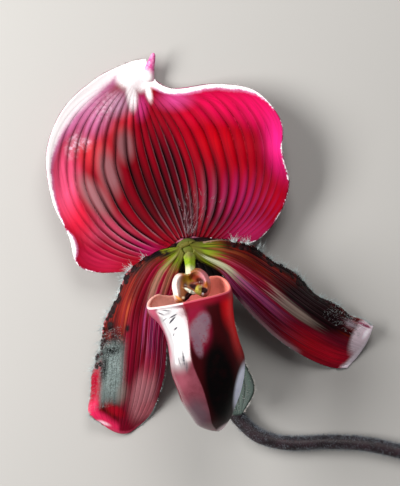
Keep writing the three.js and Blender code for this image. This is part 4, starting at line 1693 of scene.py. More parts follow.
@dataclass(frozen=True)
class LowerSepalFinish:
    """Pale grey green with green veins, darker towards the base."""

    pale: int = 0x56625E
    green: int = 0x222E28
    maroon: int = 0x160406
    ash: int = 0x5C6E66

    def material(self) -> Material:
        """The lower sepal's material.

        Returns:
            The material.
        """
        wax = {"subsurface_weight": 0.05, "subsurface_scale": 0.5 * MM}
        shader = Shader("lower_sepal_satin", roughness=0.5, **wax)
        veins = veins_of(shader, 0.4, 0.2)
        streaks = veins.grain(14.0, 6.0)
        colour = shader.coated(
            shader.mix(streaks.step(0.35, 0.7), self.pale, self.ash),
            (veins.line * 0.8, self.green),
            ((veins.along + (streaks - 0.5) * 0.2).step(0.62, 0.4), self.maroon),
        )
        shader.feed("Base Color", colour)
        shader.bump(streaks * 0.6 - veins.line * 0.4, 0.12, 0.6)
        return shader.material


@dataclass
class LowerSepal(Blade):
    """The two lower sepals, grown together into one pointed blade behind the pouch."""

    name: str = "lower_sepal_skin"
    node: str = "lower_sepal"
    midrib: Points = (
        (0.1, -3.9, -1.8), (2.4, -12.1, -5.2), (4.8, -22.4, -7.6), (7.9, -32.6, -8.3), (11.6, -42.1, -8.6),
    )
    left: Points = (
        (5.6, -2.6, -1.8), (8.8, -9.1, -4.4), (10.7, -18.3, -6.4),
        (13.0, -27.4, -7.0), (15.9, -35.0, -7.2), (12.8, -41.7, -8.4),
    )
    right: Points = (
        (-4.8, -3.2, -1.8), (-6.0, -10.6, -4.4), (-4.7, -20.3, -6.2),
        (-0.8, -31.5, -7.2), (6.5, -39.1, -8.0), (10.7, -42.1, -8.6),
    )
    veins: int = 4
    columns: int = 96
    rows: int = 130
    middle: float = 1.0
    start: float = -0.02

    def relief(self, u: Array, t: Array) -> Array:
        """Shallow grooves that fade to the tip."""
        return -0.25 * (1 - u) * self.groove(u, t)

    def cilia(self) -> Piece:
        """Fine hairs along the margin, long on the side that shows, and down on the tip.

        Returns:
            The piece.
        """
        hairs = Hairs("lower_sepal_hairs", 31)
        for side, count, length in ((-1.0, 200, (0.5, 1.2)), (1.0, 90, (0.3, 0.8))):
            u = hairs.draw.uniform(0.4, 0.99, count)
            t = np.full(count, side * 0.99)
            _, across = self.lines(u, t)
            hairs.sprout(self.point(u, t, 0.5), unit(across) * side + (0, 0, 0.3), length, 0.04)
        u, t = hairs.draw.uniform(0.55, 0.97, 260), hairs.draw.uniform(-0.95, 0.2, 260)
        hairs.sprout(self.point(u, t, 1.0), self.normal(u, t), (0.25, 0.6), 0.035)
        return hairs.built()

    def build(self) -> None:
        """Makes and dresses the lower sepal and its hairs."""
        dressed(self.skin(), LowerSepalFinish().material(), Slot.LOWER_SEPAL, self.node)
        dressed(self.cilia(), HairFinish("lower_sepal_hair").material(), Slot.LOWER_SEPAL)


# ---- The lip: pouch, column and staminode lean together round the viewing axis ----

LIP_LEAN = math.radians(12)
LIP_SHIFT = -2.0


def from_lip(points: Array) -> Array:
    """Points of the leaning lip, whose +Y runs up to the hub, in the bloom's frame."""
    x, y = turned(points[..., 0] + LIP_SHIFT, points[..., 1], LIP_LEAN)
    return np.stack([x, y, points[..., 2]], axis=-1)


@dataclass(frozen=True)
class PouchFinish:
    """Glossy on the left of its keel, lit pink with a painted white highlight and painted shade in small
    creases; dusky maroon on the right, partly painted shade, with a painted lilac reflection, painted pale
    reflections and a painted red glow at its edge; salmon inside, with painted shade deeper in.
    """

    # Right of the keel: dusky maroon, partly painted shade beside the lit pink of the left.
    maroon: int = 0x3C0309
    salmon: int = 0xFF9484
    left_salmon: int = 0xFFBEB0
    # Painted shade deep in the hollow.
    deep: int = 0x4A060C
    rim: int = 0x9C0428
    lip: int = 0xD8566C
    # Painted highlight: the white rim left of the keel.
    left_lip_highlight: int = 0xF0E4E6
    pink: int = 0x84404E
    # Painted shade in the small creases on the glossy left.
    crease_shade: int = 0x3C3A44
    dusk: int = 0x70303C
    blush: int = 0xC04C50
    band: Patch = Patch(-7.7, -19.6, 1.7, 9.5, 22, 0xA84A62, 1, 0.5)
    wrinkled: Patches = each(
        Patch,
        (-4.5, -15.8, 1.8, 0.3, 30, 0, 1, 0.9), (-4.7, -16.8, 2, 0.42, 50, 0, 1.2, 0.9),
        (-7.3, -15.3, 1.5, 0.34, -22, 0, 0.9, 0.9), (-6, -14.5, 2, 0.3, -4, 0, 0.8, 0.9),
        (-6.4, -16.6, 1.2, 0.3, 40, 0, 0.7, 0.9), (-3.8, -18.7, 1.1, 0.36, 48, 0, 1.1, 0.9),
        (-4.3, -20.2, 0.9, 0.26, 72, 0, 0.9, 0.9), (-1.9, -25.9, 3.2, 0.5, 98, 0, 0.9, 0.9),
        (-2.9, -26.6, 2.2, 0.4, 108, 0, 0.7, 0.9), (-1.2, -27.6, 2.4, 0.5, 92, 0, 0.6, 0.9),
        (-5.8, -15.2, 3, 0.9, 30, 0, 0.4), (-4.2, -19.4, 1.2, 2.2, -20, 0, 0.3),
        (-6.2, -21, 0.9, 3.8, 22, 0, 0.3), (-2.2, -26.4, 1.6, 2.8, 10, 0, 0.5),
    )
    glints: Patches = each(
        Patch,
        (9.9, -17.5, 1.9, 9, 6, 0xA00004), (12, -33.2, 1.9, 7.4, -10, 0x9098B4, 1, 0.5),
        (8.2, -43.2, 4.2, 1.4, 32, 0xF0D8DC, 0.7, 0.8),
    )
    # Painted reflection: the lilac patch on the right.
    lilac: Patches = each(
        Patch,
        (2.6, -17.4, 2.5, 3.4, -8, 0x8E6C7C, 1.3, 0.6), (1.7, -19.6, 2.9, 4, 12, 0x987684, 1.3, 0.6),
        (1.5, -22.6, 1.5, 3.8, 14, 0x8E6C7C, 1.3, 0.7),
    )
    # (8.8, -13.6) and (11, -20): painted red glow of light through the right edge; (6.9, -32): painted shade
    # on the right facet.
    patches: Patches = each(
        Patch,
        (1.7, -18.4, 3.8, 8, 10, 0x9C1038, 1, 0.5), (8.8, -13.6, 2.6, 7.6, 6, 0xFF0C1E),
        (11, -20, 2.4, 10, 10, 0xC4060E), (5.6, -14.5, 1.4, 5, 8, 0x400208, 0.9),
        (6.9, -32, 4.8, 13.5, 8, 0x030001, 1, 0.45),
    )
    # Painted reflections: a pale blue-white strip on the right and a pale line along the toe.
    pale: Patches = each(
        Patch,
        (11.9, -33.4, 1.9, 7.8, -10, 0xF0F2FF, 1, 0.5), (8, -43.4, 4, 1.3, 32, 0xE0C8CE, 1, 0.8),
    )
    # (-4.4, -20.5): a whitish patch of painted highlight; (1.6, -40): a painted dim reflection in grey.
    left_patches: Patches = each(
        Patch,
        (-4.4, -20.5, 4.6, 10.5, 12, 0xC4C0C2, 1, 0.5), (1.6, -40, 5, 7, 20, 0x604A54, 0.9, 0.8),
        (-2.2, -31.5, 3, 4, 12, 0xA85868, 0.7),
    )

    def material(self) -> Material:
        """The pouch's material.

        Returns:
            The material.
        """
        shader = Shader("pouch_gloss", specular_ior_level=0.15, coat_roughness=0.12, emission_strength=0.3)
        cloudy, fine = shader.noise(3.0, 4.0), shader.noise(0.7, 3.0)
        inside, near_rim = shader.attribute("inside"), shader.attribute("rim")
        on_right = shader.attribute("keel").step(-0.02, 0.02)
        upper = shader.height().step(8.0, 14.0)
        # Right of the keel: dusky maroon in partly painted shade, painted reflections and a painted red glow;
        # left of it lit pink with a painted highlight.
        right = shader.painted(self.maroon, self.patches, cloudy)
        right = shader.painted(right, self.pale, cloudy, upper)
        right = shader.painted(right, self.lilac, (fine - 0.5) * 3.4 + (cloudy - 0.5) + 0.4)
        left = shader.mix(cloudy.step(0.35, 0.7), self.pink, self.dusk)
        left = shader.mix(upper, left, shader.painted(left, self.left_patches, cloudy))
        band, wrinkles = shader.patch(self.band), shader.covered(self.wrinkled) * (fine * 1.4 + 0.3)
        # The band's pink, then painted shade in the small creases.
        left = shader.coated(left, (band, self.band.colour), (wrinkles, self.crease_shade))
        outside = shader.coated(
            shader.mix(on_right, left, right),
            (near_rim.step(2.4, 0.5) * on_right * 0.8, self.rim),
            (near_rim.step(0.25, 0.05), shader.mix(on_right, self.left_lip_highlight, self.lip)),
        )
        hollow = shader.coated(
            shader.mix(on_right, self.left_salmon, self.salmon),
            (near_rim.step(2.0, 7.0) * (1 - on_right * 0.7), self.lip),
            # Painted shade deeper in the hollow.
            (near_rim.step(5.0, 14.0), self.deep),
            (shader.noise(1.4).step(0.4, 0.7) * 0.2, self.blush),
        )
        shader.feed("Base Color", shader.mix(inside, outside, hollow))
        lit = on_right * (1 - inside) * upper
        shader.feed("Emission Color", shader.painted(BLACK, self.glints, within=lit))
        matt = (inside * 0.3 + on_right * 0.22 + wrinkles * 0.5 + band * 0.3).at_most(0.6)
        shader.feed("Roughness", 0.14 + fine * 0.1 + matt)
        coat = 0.85 * (1 - inside) * (1 - on_right * 0.95) * (1 - band * 0.9)
        shader.feed("Coat Weight", coat * (1 - wrinkles).at_least(0.0))
        shader.bump(fine - wrinkles * 0.8, 0.1, 0.35)
        return shader.material


@dataclass
class Pouch:
    """The slipper: a hollow keeled cup with a rolled rim, raised side lobes and a claw to the hub."""

    levels: tuple[tuple[float, ...], ...] = (
        (-44.6, -0.8, 2.4, 10.8, 14.2), (-42.4, -1.4, 4.0, 8.6, 16.6), (-40.0, -1.2, 5.3, 6.6, 18.8),
        (-36.0, -0.7, 7.3, 4.6, 21.2), (-32.0, -0.1, 8.4, 3.4, 22.8), (-28.0, 0.2, 9.0, 2.7, 23.6),
        (-24.0, 0.2, 8.6, 2.4, 23.8), (-20.0, 0.1, 8.5, 2.4, 23.3), (-16.0, -0.3, 9.2, 2.4, 22.5),
        (-12.0, -1.1, 10.7, 2.6, 21.0), (-8.0, -0.4, 8.8, 2.4, 17.4), (-3.6, 1.1, 2.6, 0.6, 8.0),
    )
    right_rim: tuple[Pair, ...] = (
        (0, -12.1), (60, -11.9), (82, -11.2), (96, -9.6), (112, -8.1), (135, -7.6), (155, -7.6), (180, -3.6),
    )
    left_rim: tuple[Pair, ...] = (
        (0, -12.1), (60, -11.7), (85, -11.0), (105, -9.7), (124, -9.2), (143, -9.9), (160, -9.8), (180, -3.6),
    )
    wall: float = 0.8
    rolled: float = 0.3
    rim_reach: float = 32.0
    toe_share: float = 0.9
    columns: int = 200
    rows: int = 170
    outer_share: float = 0.56
    lip_share: float = 0.04
    finish: PouchFinish = PouchFinish()

    def point(self, share: Array, angle: Array, inset: Array) -> Array:
        """Points of the wall, inset inside its outer face: share 0 is the rim and 1 the toe.

        Args:
            share: Shares from the rim to the toe.
            angle: Angles round it, from the front.
            inset: Distances inside the outer face.

        Returns:
            The points.
        """
        turn = np.degrees(np.where(angle > math.pi, 2 * math.pi - angle, angle))
        left, right = (table_at(side, turn)[..., 0] for side in (self.left_rim, self.right_rim))
        rim = np.where(angle > math.pi, left, right)
        y = rim + (self.levels[0][0] + inset - rim) * share
        middle, half, back, front = np.moveaxis(table_at(self.levels, y), -1, 0)
        aside = np.sin(angle)
        drop = np.where(aside < 0, 0.3, 0.5) * np.abs(aside)
        flat = (1 - drop) * np.sqrt(np.clip(1 - np.abs(aside) ** 8, 0, 1))
        flatness = 0.95 - 0.5 * smooth(-y, 27, 43)
        depth = np.cos(angle)
        depth = np.where(turn < 90, depth + (flat - depth) * flatness, depth)
        past_toe = np.clip((share - self.toe_share) / (1 - self.toe_share), 0, 1)
        closing = np.sqrt(np.clip(1 - past_toe**2, 0, 1))
        width = np.maximum(half - inset, 0.3) * closing
        reach = np.maximum((front - back) / 2 - inset, 0.3) * closing
        keel_shift = -0.11 - 0.3 * bell(y, -25, 9)
        x = middle + width * (aside + keel_shift * np.maximum(0, depth) ** 2)
        return np.stack([x, y, (back + front) / 2 + reach * depth], axis=-1)

    def walk(self, along: Array) -> tuple[Array, Array, Array]:
        """Where a row of the skin lies, from the outer toe over the rim to the inner toe.

        Args:
            along: The row's place, from 0 to 1.

        Returns:
            Its share down the pouch, its inset and how far the rolled lip lifts it.
        """
        start, end = self.outer_share, self.outer_share + self.lip_share
        outer = np.clip(1 - along / start, 0, 1) ** 1.15
        inner = np.clip((along - end) / (1 - end), 0, 1) ** 1.15
        roll = np.clip((along - start) / self.lip_share, 0, 1) * math.pi
        inset = self.wall * (0.5 - 0.5 * np.cos(roll))
        return np.where(along < start, outer, inner), inset, self.rolled * np.sin(roll)

    def skin(self) -> Piece:
        """The pouch's closed skin, with its keel, rim distance and inside stored for its finish.

        Returns:
            The piece.
        """
        piece = grid("pouch_skin", self.columns, self.rows)
        flat = corners(piece)
        angle, along = (flat[:, 0] + 1) * math.pi, (flat[:, 1] + 1) / 2
        share, inset, lift = self.walk(along)
        points = self.point(share, angle, inset)
        points[:, 1] += lift
        place(piece, from_lip(points))
        write_attribute(piece, "keel", np.sin(angle))
        write_attribute(piece, "rim", share * self.rim_reach)
        start = self.outer_share + 0.1 * self.lip_share
        write_attribute(piece, "inside", smooth(along, start, start + 0.4 * self.lip_share))
        welded(piece)
        return piece

    def build(self) -> None:
        """Makes and dresses the pouch."""
        dressed(self.skin(), self.finish.material(), Slot.POUCH, "pouch")


@dataclass
class Column:
    """The column: a short green neck from the receptacle, with the stigma's disc under its end."""

    neck: Points = ((1.1, -1.0, 0.0), (1.0, -2.2, 1.4), (0.75, -4.0, 4.4), (0.2, -7.0, 7.4))
    foot_radius: float = 1.25
    end_radius: float = 1.15
    flare: float = 0.5
    stigma_centre: Triple = (0.1, -8.4, 6.6)
    stigma_size: Triple = (2.3, 2.8, 0.9)
    stigma_tilt: float = -0.5
    finish: MottledFinish = MottledFinish(
        "column_wax", 0x7A9A18, 0x96B428, 0.9, (0.3, 0.7), 0.45, 0.3, (0.15, 0.8), (0.4, 0.1, 0.5),
        each(Patch, (-0.8, -5.4, 2.6, 2.2, 0, 0xDCD8B4, 1, 0.8), (-0.7, -1, 3, 1.8, 0, 0x807C44)),
    )

    def neck_points(self, angle: Array, share: Array) -> Array:
        """Points round the neck, which is flared at its foot and has five faint ribs.

        Args:
            angle: Their angles round it.
            share: Their shares along it.

        Returns:
            The points.
        """
        plain = self.foot_radius + (self.end_radius - self.foot_radius) * share
        radius = plain + self.flare * np.exp(-share / 0.2) + 0.07 * np.cos(5 * angle)
        line = Curve(self.neck)
        return from_lip(line.around(angle, share, radius * rounded(share, 16), (1, 0, 0))[0])

    def stigma_points(self, angle: Array, share: Array) -> Array:
        """Points round the stigma, a smooth disc with a shallow dent.

        Args:
            angle: Their angles round it.
            share: Their shares from its back to its face.

        Returns:
            The points.
        """
        wide, tall, deep = self.stigma_size
        ring = np.sin(share * math.pi)
        z = -deep * np.cos(share * math.pi) * (1 - 0.35 * bell(share, 1, 0.25))
        y, z = turned(tall * ring * np.sin(angle), z, self.stigma_tilt)
        return from_lip(np.stack([wide * ring * np.cos(angle), y, z], axis=-1) + self.stigma_centre)

    def build(self) -> None:
        """Makes and dresses the neck and the stigma."""
        material = self.finish.material()
        dressed(tube("column_skin", 48, 60, self.neck_points), material, Slot.COLUMN, "column")
        dressed(tube("stigma_skin", 36, 24, self.stigma_points), material, Slot.COLUMN, "column")


class Side(Enum):
    """The two sides of the column."""

    LEFT = -1
    RIGHT = 1


@dataclass
class Anther:
    """One of the two anthers, a waxy bead with a groove along it, at the side of the column."""

    side: Side
    size: Triple = (1.15, 1.6, 1.1)
    place: Triple = (3.0, -7.6, 7.2)
    shift: float = 0.3
    turn: float = 0.4

    def bead_points(self, angle: Array, share: Array) -> Array:
        """Points round the bead.

        Args:
            angle: Their angles round it.
            share: Their shares along it.

        Returns:
            The points.
        """
        wide, long, tall = self.size
        ring = np.sin(share * math.pi) * (1 - 0.16 * bell(np.abs(angle - math.pi / 2), 0, 0.35))
        x, y = wide * ring * np.cos(angle), -long * np.cos(share * math.pi)
        x, y = turned(x, y, self.side.value * self.turn)
        centre = (self.shift + self.side.value * self.place[0], *self.place[1:])
        return from_lip(np.stack([x, y, tall * ring * np.sin(angle)], axis=-1) + centre)

    def build(self) -> None:
        """Makes and dresses the anther."""
        node = f"anther_{self.side.name.lower()}"
        finish = MottledFinish(
            f"{node}_wax", 0xD8CC86, 0xB89C4C, 0.5, roughness=0.4, waxy=(0.1, 0.5), grain=(0.3, 0.1, 0.6)
        )
        dressed(tube(f"{node}_skin", 32, 24, self.bead_points), finish.material(), Slot.ANTHER, node)


@dataclass(frozen=True)
class StaminodeFinish:
    """Waxy cream on the left, mauve pink on the right, olive and rust in the middle, and dark hollows in
    painted shade, one with a painted highlight.
    """

    rust: int = 0xA2603A
    # Colours of the painted shade in the hollows.
    dark: int = 0x100002
    brown: int = 0x3A0408
    # (2, -7.6) is painted shade by the right hollow.
    lobes: Patches = each(
        Patch,
        (3.2, -6.4, 2.4, 3.4, 10, 0xC87880, 1.3, 0.9), (3.6, -10.2, 1.2, 1.6, 0, 0xB87068, 1.2, 0.9),
        (-4, -8.4, 2, 4.6, -5, 0xF0DCD4, 1, 0.5), (-2.4, -8.9, 0.9, 3.4, 0, 0xC07840, 1, 0.8),
        (-0.9, -7.3, 2, 1.9, 0, 0x846014, 1.4, 0.7), (-1.6, -8.7, 0.9, 1.6, 0, 0x50280A, 1.2, 0.9),
        (0.9, -6.7, 1.6, 1.1, -20, 0x9C3C24, 1.4, 0.8), (2, -7.6, 1.7, 1.2, -35, 0x4A0C02, 1.4, 0.8),
        (0.5, -8.2, 1.6, 0.8, 0, 0x7A2C10, 1.2, 0.8), (3.5, -8.4, 0.8, 1.3, 0, 0xAC6028, 1.2, 0.8),
    )
    # Painted shade in the hollows.
    shaded_holes: Patches = each(
        Patch,
        (0.6, -9, 2, 0.9, -20, 0, 1.3, 0.7), (-0.6, -11.7, 1.5, 1.9, 0, 0, 1.3, 0.5),
        (3, -9.8, 1.1, 0.9, 0, 0, 1.3, 0.5),
    )
    # (2.7, -10.7) is a painted highlight in the right hollow.
    details: Patches = each(
        Patch,
        (1.55, -9.9, 0.95, 1.7, -8, 0xA89C40, 1.2, 0.4), (2.1, -9, 0.6, 0.4, 20, 0xC8C080, 1, 0.5),
        (-0.4, -10, 1.9, 0.55, -30, 0xDCE0CC, 1.2, 0.4), (-3, -11.9, 1.7, 0.36, -38, 0xE89A50, 1.2, 0.5),
        (-2.1, -11.6, 0.5, 0.5, 0, 0xFFE8C0, 1.2, 0.8), (2.7, -10.7, 0.4, 0.4, 0, 0xF0ECF4, 1.2, 0.5),
        (-0.7, -5.5, 0.5, 0.35, 0, 0xFFF2EE, 1.2, 0.5),
    )

    def material(self) -> Material:
        """The staminode's material.

        Returns:
            The material.
        """
        wax = {"subsurface_weight": 0.1, "subsurface_scale": 0.6 * MM}
        shader = Shader("staminode_wax", specular_ior_level=0.3, **wax)
        fine, shaded_holes = shader.noise(0.5, 3.0), shader.covered(self.shaded_holes)
        colour = shader.painted(self.rust, self.lobes, fine)
        # Painted shade in the hollows.
        colour = shader.mix(shaded_holes, colour, shader.mix(fine.step(0.4, 0.7), self.dark, self.brown))
        shader.feed("Base Color", shader.painted(colour, self.details))
        shader.feed("Roughness", 0.32 + shaded_holes * 0.5)
        shader.feed("Coat Weight", (0.4 - shaded_holes).at_least(0.0))
        shader.bump(fine, 0.12, 0.5)
        return shader.material


@dataclass
class Staminode:
    """The shield in the mouth: two lobes on top, two horns below, and a pale tooth between two hollows."""

    centre: Triple = (0.1, -8.5, 10.6)
    radius: float = 4.8
    tilt: float = -0.2
    columns: int = 120
    rows: int = 80
    back_share: float = 0.22

    def outline(self, angle: Array) -> Array:
        """The outline's radius at an angle from the middle of the lower edge, through the left.

        Args:
            angle: The angles.

        Returns:
            The radii.
        """
        turn = np.where(angle > math.pi, 2 * math.pi - angle, angle)
        opening = 2.6 * np.exp(-((turn / 0.55) ** 4))
        horn = 0.8 * bell(angle, 0.95, 0.3)
        notch = 1.8 * bell(angle, math.pi - 0.08, 0.42)
        return self.radius - opening + horn - notch

    def height(self, share: Array, angle: Array) -> Array:
        """The face's height: a raised horseshoe round a sunk middle, with hollows and a tooth in it.

        Args:
            share: Shares of the outline's radius.
            angle: Angles as for the outline.

        Returns:
            The heights.
        """
        turn = np.where(angle > math.pi, 2 * math.pi - angle, angle)
        opened = 1 - 0.7 * bell(turn, 0, 0.45)
        wing = 1.7 * bell(share, 0.78, 0.22) * opened * (1 - share**10)
        x, y = -share * self.outline(angle) * np.sin(angle), -share * self.outline(angle) * np.cos(angle)

        def dome(cx: float, cy: float, rx: float, ry: float, leaning: float = 0.0) -> Array:
            """An oval dome of height 1 on the face."""
            along, across = turned(x - cx, y - cy, -math.radians(leaning))
            return np.exp(-((along / rx) ** 2) - (across / ry) ** 2)

        left, right = 1.6 * dome(-1.0, -2.7, 1.4, 1.3), 1.3 * dome(2.9, -1.5, 0.9, 0.8)
        hollows = left + right + 0.4 * dome(2.0, 0.4, 1.2, 0.7)
        tooth = 1.3 * dome(-0.5, -1.35, 1.5, 0.4, -39) + 1.3 * dome(1.45, -1.5, 0.8, 1.2, -12)
        return 0.4 + wing - hollows + tooth

    def shield_points(self, angle: Array, along: Array) -> Array:
        """Points over the back and then over the face.

        Args:
            angle: Their angles from the middle of the lower edge, through the left.
            along: Their shares from the back's middle over the edge to the face's middle.

        Returns:
            The points.
        """
        behind = along < self.back_share
        share = np.where(behind, along / self.back_share, (1 - along) / (1 - self.back_share))
        radius = share * self.outline(angle)
        z = np.where(behind, -0.7 + 0.3 * share, self.height(share, angle))
        y, z = turned(-radius * np.cos(angle), z, self.tilt)
        return from_lip(np.stack([-radius * np.sin(angle), y, z], axis=-1) + self.centre)

    def build(self) -> None:
        """Makes and dresses the staminode."""
        shield = tube("staminode_skin", self.columns, self.rows, self.shield_points)
        dressed(shield, StaminodeFinish().material(), Slot.STAMINODE, "staminode")


# ---- The ovary, its bract and the stem ----

STEM_RADIUS = 1.75
STEM_Z = STEM_RADIUS + FLOOR - 0.12
OVARY_LINE: Points = (
    (-1.2, -0.3, 1.25), (-0.9, -0.4, -2.4), (0.0, -3.6, -7.8), (1.8, -11.5, -11.8),
    (4.4, -21.0, -12.6), (6.9, -30.5, -13.4), (9.3, -38.0, STEM_Z),
)


def ovary_radius(share: Array) -> Array:
    """The ovary's radius: the receptacle on top, the swollen middle, and a foot as thick as the stem.

    Args:
        share: Shares of its length, from the top.

    Returns:
        The radii.
    """
    club = 2.2 + 0.5 * bell(share, 0.48, 0.24)
    top = 2.3 + 0.9 * smooth(share, 0.015, 0.045)
    grown = top + (club - top) * smooth(share, 0.06, 0.17)
    return grown + (STEM_RADIUS - grown) * smooth(share, 0.72, 1)


@dataclass
class Ovary:
    """The ovary: a six-ribbed club whose green top, the receptacle, shows between the petals."""

    columns: int = 96
    rows: int = 150
    finish: MottledFinish = MottledFinish(
        "ovary_skin_olive", 0x5A5A34, 0x4A2A38, 2.0, specular=0.1,
        patches=each(Patch, (-0.7, 0, 5.5, 5, 0, 0x5C6A1C, 1, 0.8), (-1.2, -0.8, 2.4, 2, 0, 0x6A6430)),
    )

    def around(self, angle: Array, share: Array) -> tuple[Array, Array]:
        """Points on the ovary and the ways out of it.

        Args:
            angle: Their angles round it.
            share: Their shares along it.

        Returns:
            The points and the ways.
        """
        ribs = 0.26 * np.cos(6 * angle) * bell(share, 0.5, 0.25)
        radius = (ovary_radius(share) + ribs) * rounded(share, 24)
        return Curve(OVARY_LINE).around(angle, share, radius, (1, 0, 0))

    def club(self) -> Piece:
        """The ovary's closed skin."""
        return tube("ovary_skin", self.columns, self.rows, lambda angle, share: self.around(angle, share)[0])

    def down(self) -> Piece:
        """Short hairs all over it, below the receptacle.

        Returns:
            The piece.
        """
        hairs = Hairs("ovary_hairs", 41)
        angle, share = hairs.draw.uniform(0, 2 * math.pi, 1500), hairs.draw.uniform(0.12, 0.99, 1500)
        roots, ways = self.around(angle, share)
        clear = roots[:, 2] > FLOOR + HAIR_GAP
        hairs.sprout(roots[clear], ways[clear], (0.35, 0.8), 0.035)
        return hairs.built()

    def build(self) -> None:
        """Makes and dresses the ovary and its hairs."""
        dressed(self.club(), self.finish.material(), Slot.OVARY, "ovary")
        dressed(self.down(), HairFinish("ovary_hair").material(), Slot.OVARY)


@dataclass(frozen=True)
class BractFinish(MottledFinish):
    """Downy green with purple veins."""

    vein: int = 0x4A2C38

    def over(self, shader: Shader, colour: Colour) -> Colour:
        """The colour with the veins over it."""
        return shader.mix(veins_of(shader, 0.3, 0.2).line * 0.7, colour, self.vein)


@dataclass
class Bract(Blade):
    """The bract: a pointed sheath that wraps the foot of the ovary from above."""

    name: str = "bract_skin"
    node: str = "bract"
    left: Points = ()
    midrib: Points = ()
    right: Points = ()
    veins: int = 3
    columns: int = 72
    rows: int = 80
    middle: float = 0.8
    foot: float = 0.985
    tip: float = 0.6
    gap: float = 0.45
    finish: BractFinish = BractFinish(
        "bract_green", 0x66764A, 0x84906A, 1.5, (0.3, 0.7), 0.55, grain=(0.4, 0.12, 0.6)
    )

    def sheet(self, u: Array, t: Array) -> Array:
        """Points of the sheath's sheet, which opens from a full wrap to a narrow point.

        Args:
            u: Shares along the blade.
            t: Shares across it.

        Returns:
            The points.
        """
        line = Curve(OVARY_LINE)
        ends = line.even(np.array((self.foot, self.tip)))
        along = unit(ends[1] - ends[0])
        leaning = np.array((0.55, 0.0, 1.0))
        above = unit(leaning - along * (leaning @ along))
        aside = np.cross(along, above)
        share = self.foot + (self.tip - self.foot) * u
        opened = np.clip(u, 0, 1)
        wrap = np.radians(92 - 84 * opened**1.7) * t
        radius = ovary_radius(share) + self.gap + self.middle / 2 + 0.4 * opened**2
        rise, reach = radius * np.cos(wrap), radius * np.sin(wrap)
        return line.even(share) + above * rise[:, None] + aside * reach[:, None]

    def relief(self, u: Array, t: Array) -> Array:
        """Fine veins."""
        return -0.12 * self.groove(u, t)

    def down(self) -> Piece:
        """Hairs over its outside and along its edges.

        Returns:
            The piece.
        """
        hairs = Hairs("bract_hairs", 51)
        u, t = hairs.draw.uniform(0.02, 0.99, 700), hairs.draw.uniform(-1, 1, 700)
        roots = self.point(u, t, 1.0)
        clear = roots[:, 2] > FLOOR + HAIR_GAP
        hairs.sprout(roots[clear], self.normal(u, t)[clear], (0.4, 0.9), 0.035)
        return hairs.built()

    def build(self) -> None:
        """Makes and dresses the bract and its hairs."""
        dressed(self.skin(), self.finish.material(), Slot.BRACT, self.node)
        dressed(self.down(), HairFinish("bract_hair").material(), Slot.BRACT)


@dataclass(frozen=True)
class StemFinish(MottledFinish):
    """Dark purple with a green cast and pale flecks."""

    fleck: int = 0x8C8088

    def over(self, shader: Shader, colour: Colour) -> Colour:
        """The colour with flecks over it."""
        return shader.mix(shader.noise(0.4).step(0.6, 0.75) * 0.25, colour, self.fleck)


@dataclass
class Stem:
    """The cut stem, which lies on the table."""

    line: Points = tuple(
        (x, y, STEM_Z)
        for x, y in (
            (9.48, -38.56), (10.5, -41.3), (12.9, -44.4), (17.4, -48.0), (24.6, -49.8),
            (34.6, -49.5), (44.8, -50.1), (54.6, -52.2), (66.0, -54.6), (78.6, -55.4),
        )
    )
    cut_place: Triple = (77.2, -55.4, STEM_Z)
    cut_turn: float = -0.5
    columns: int = 48
    rows: int = 260
    finish: StemFinish = StemFinish("stem_purple", 0x1C0E14, 0x36242C, 2.5, grain=(0.5, 0.12, 0.7))

    def around(self, angle: Array, share: Array) -> tuple[Array, Array]:
        """Points on the stem and the ways out of it.

        Args:
            angle: Their angles round it.
            share: Their shares along it.

        Returns:
            The points and the ways.
        """
        knobbly = 1 + 0.02 * np.sin(3 * angle + 9 * share) + 0.015 * np.sin(47 * share)
        closed = np.sqrt(np.clip(1 - np.clip(1 - share * 80, 0, 1) ** 2, 0, 1))
        return Curve(self.line).around(angle, share, STEM_RADIUS * knobbly * closed)

    def stalk(self) -> Piece:
        """The stem's closed skin, sawn off at a slant.

        Returns:
            The piece.
        """
        piece = tube("stem_skin", self.columns, self.rows, lambda angle, share: self.around(angle, share)[0])
        way = (math.cos(self.cut_turn), math.sin(self.cut_turn), 0.0)
        where = tuple((np.array(self.cut_place) + HUB) * MM)
        cut = {"plane_co": where, "plane_no": way, "use_fill": True, "clear_outer": True}
        edited(piece, lambda: bpy.ops.mesh.bisect(**cut))
        return piece

    def down(self) -> Piece:
        """Dense pale hairs all along it.

        Returns:
            The piece.
        """
        hairs = Hairs("stem_hairs", 61)
        for low, high, count in ((-0.6, math.pi + 0.6, 4200), (2.1, 3.3, 3000)):
            angle, share = hairs.draw.uniform(low, high, count), hairs.draw.uniform(0.005, 0.975, count)
            roots, ways = self.around(angle, share)
            hairs.sprout(roots, ways, (0.4, 1.1), 0.024)
        return hairs.built()

    def build(self) -> None:
        """Makes and dresses the stem and its hairs."""
        dressed(self.stalk(), self.finish.material(), Slot.STEM, "stem")
        dressed(self.down(), HairFinish("stem_hair", 0x464C54, 0xA8B0BC).material(), Slot.STEM)


# ---- Table, light and camera ----


@dataclass(frozen=True)
class Softbox:
    """An area light: millimetres from the hub, watts."""

    name: str
    place: Triple
    size: Pair
    power: float
    colour: Triple

    def build(self) -> None:
        """Adds the light, turned towards the hub."""
        deselect_all()
        where = (np.array(self.place) + HUB) * MM
        bpy.ops.object.light_add(type="AREA", location=where)
        lamp = bpy.context.object
        lamp.name = self.name
        lamp.data.shape = "RECTANGLE"
        lamp.data.size, lamp.data.size_y = (side * MM for side in self.size)
        lamp.data.energy, lamp.data.color = self.power, self.colour
        lamp.rotation_euler = (-Vector(self.place)).to_track_quat("-Z", "Y").to_euler()


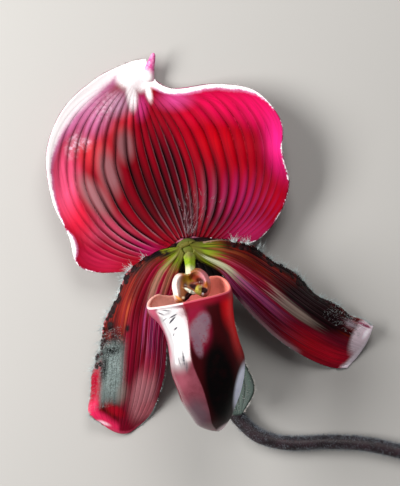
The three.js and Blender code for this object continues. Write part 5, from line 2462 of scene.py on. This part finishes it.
@dataclass
class Studio:
    """A pale table, soft lights and a camera that looks straight down on the bloom."""

    table_size: float = 3.0
    table_colour: int = 0xBEBCB9
    camera_over: Pair = (2.0, 1.75)
    camera_height: float = 500.0
    picture_height: float = 121.5
    sensor: float = 36.0
    world: float = 0.1
    boxes: tuple[Softbox, ...] = (
        Softbox("key_left", (-328.0, 46.0, 258.0), (370.0, 180.0), 2.7, (1.0, 0.99, 0.97)),
        Softbox("fill_top", (40.0, 330.0, 420.0), (260.0, 260.0), 1.3, (1.0, 0.98, 0.96)),
    )

    def table(self) -> None:
        """The table top."""
        table = added("table", bpy.ops.mesh.primitive_plane_add, size=self.table_size, location=(0, 0, -1e-4))
        shader = Shader("table_paint", roughness=0.6, base_color=tint(self.table_colour))
        table.data.materials.append(shader.material)

    def camera(self) -> None:
        """The camera, whose picture is picture_height millimetres tall at the hub's height."""
        deselect_all()
        where = (HUB + (*self.camera_over, self.camera_height)) * MM
        bpy.ops.object.camera_add(location=where, rotation=(0, 0, 0))
        camera = bpy.context.object
        camera.data.sensor_width = self.sensor
        camera.data.lens = self.sensor * self.camera_height / self.picture_height
        camera.data.clip_start, camera.data.clip_end = 0.01, 10.0
        bpy.context.scene.camera = camera

    def sky(self) -> None:
        """Dim even light from all round."""
        world = bpy.data.worlds.new("room")
        world.use_nodes = True
        world.node_tree.nodes["Background"].inputs["Color"].default_value = (1, 1, 1, 1)
        world.node_tree.nodes["Background"].inputs["Strength"].default_value = self.world
        bpy.context.scene.world = world
        bpy.context.scene.view_settings.view_transform = "Standard"

    def build(self) -> None:
        """Sets the scene."""
        self.table()
        self.camera()
        self.sky()
        for box in self.boxes:
            box.build()


def main() -> None:
    """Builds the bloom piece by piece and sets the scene."""
    logging.basicConfig(level=logging.INFO, format="%(name)s: %(message)s")
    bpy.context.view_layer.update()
    Studio().build()
    for assembly in (
        DorsalSepal(), LEFT_PETAL, RIGHT_PETAL, LowerSepal(), Pouch(), Column(),
        *(Anther(side) for side in Side), Staminode(), Ovary(), Bract(), Stem(),
    ):
        assembly.build()


if __name__ == "__main__":
    main()
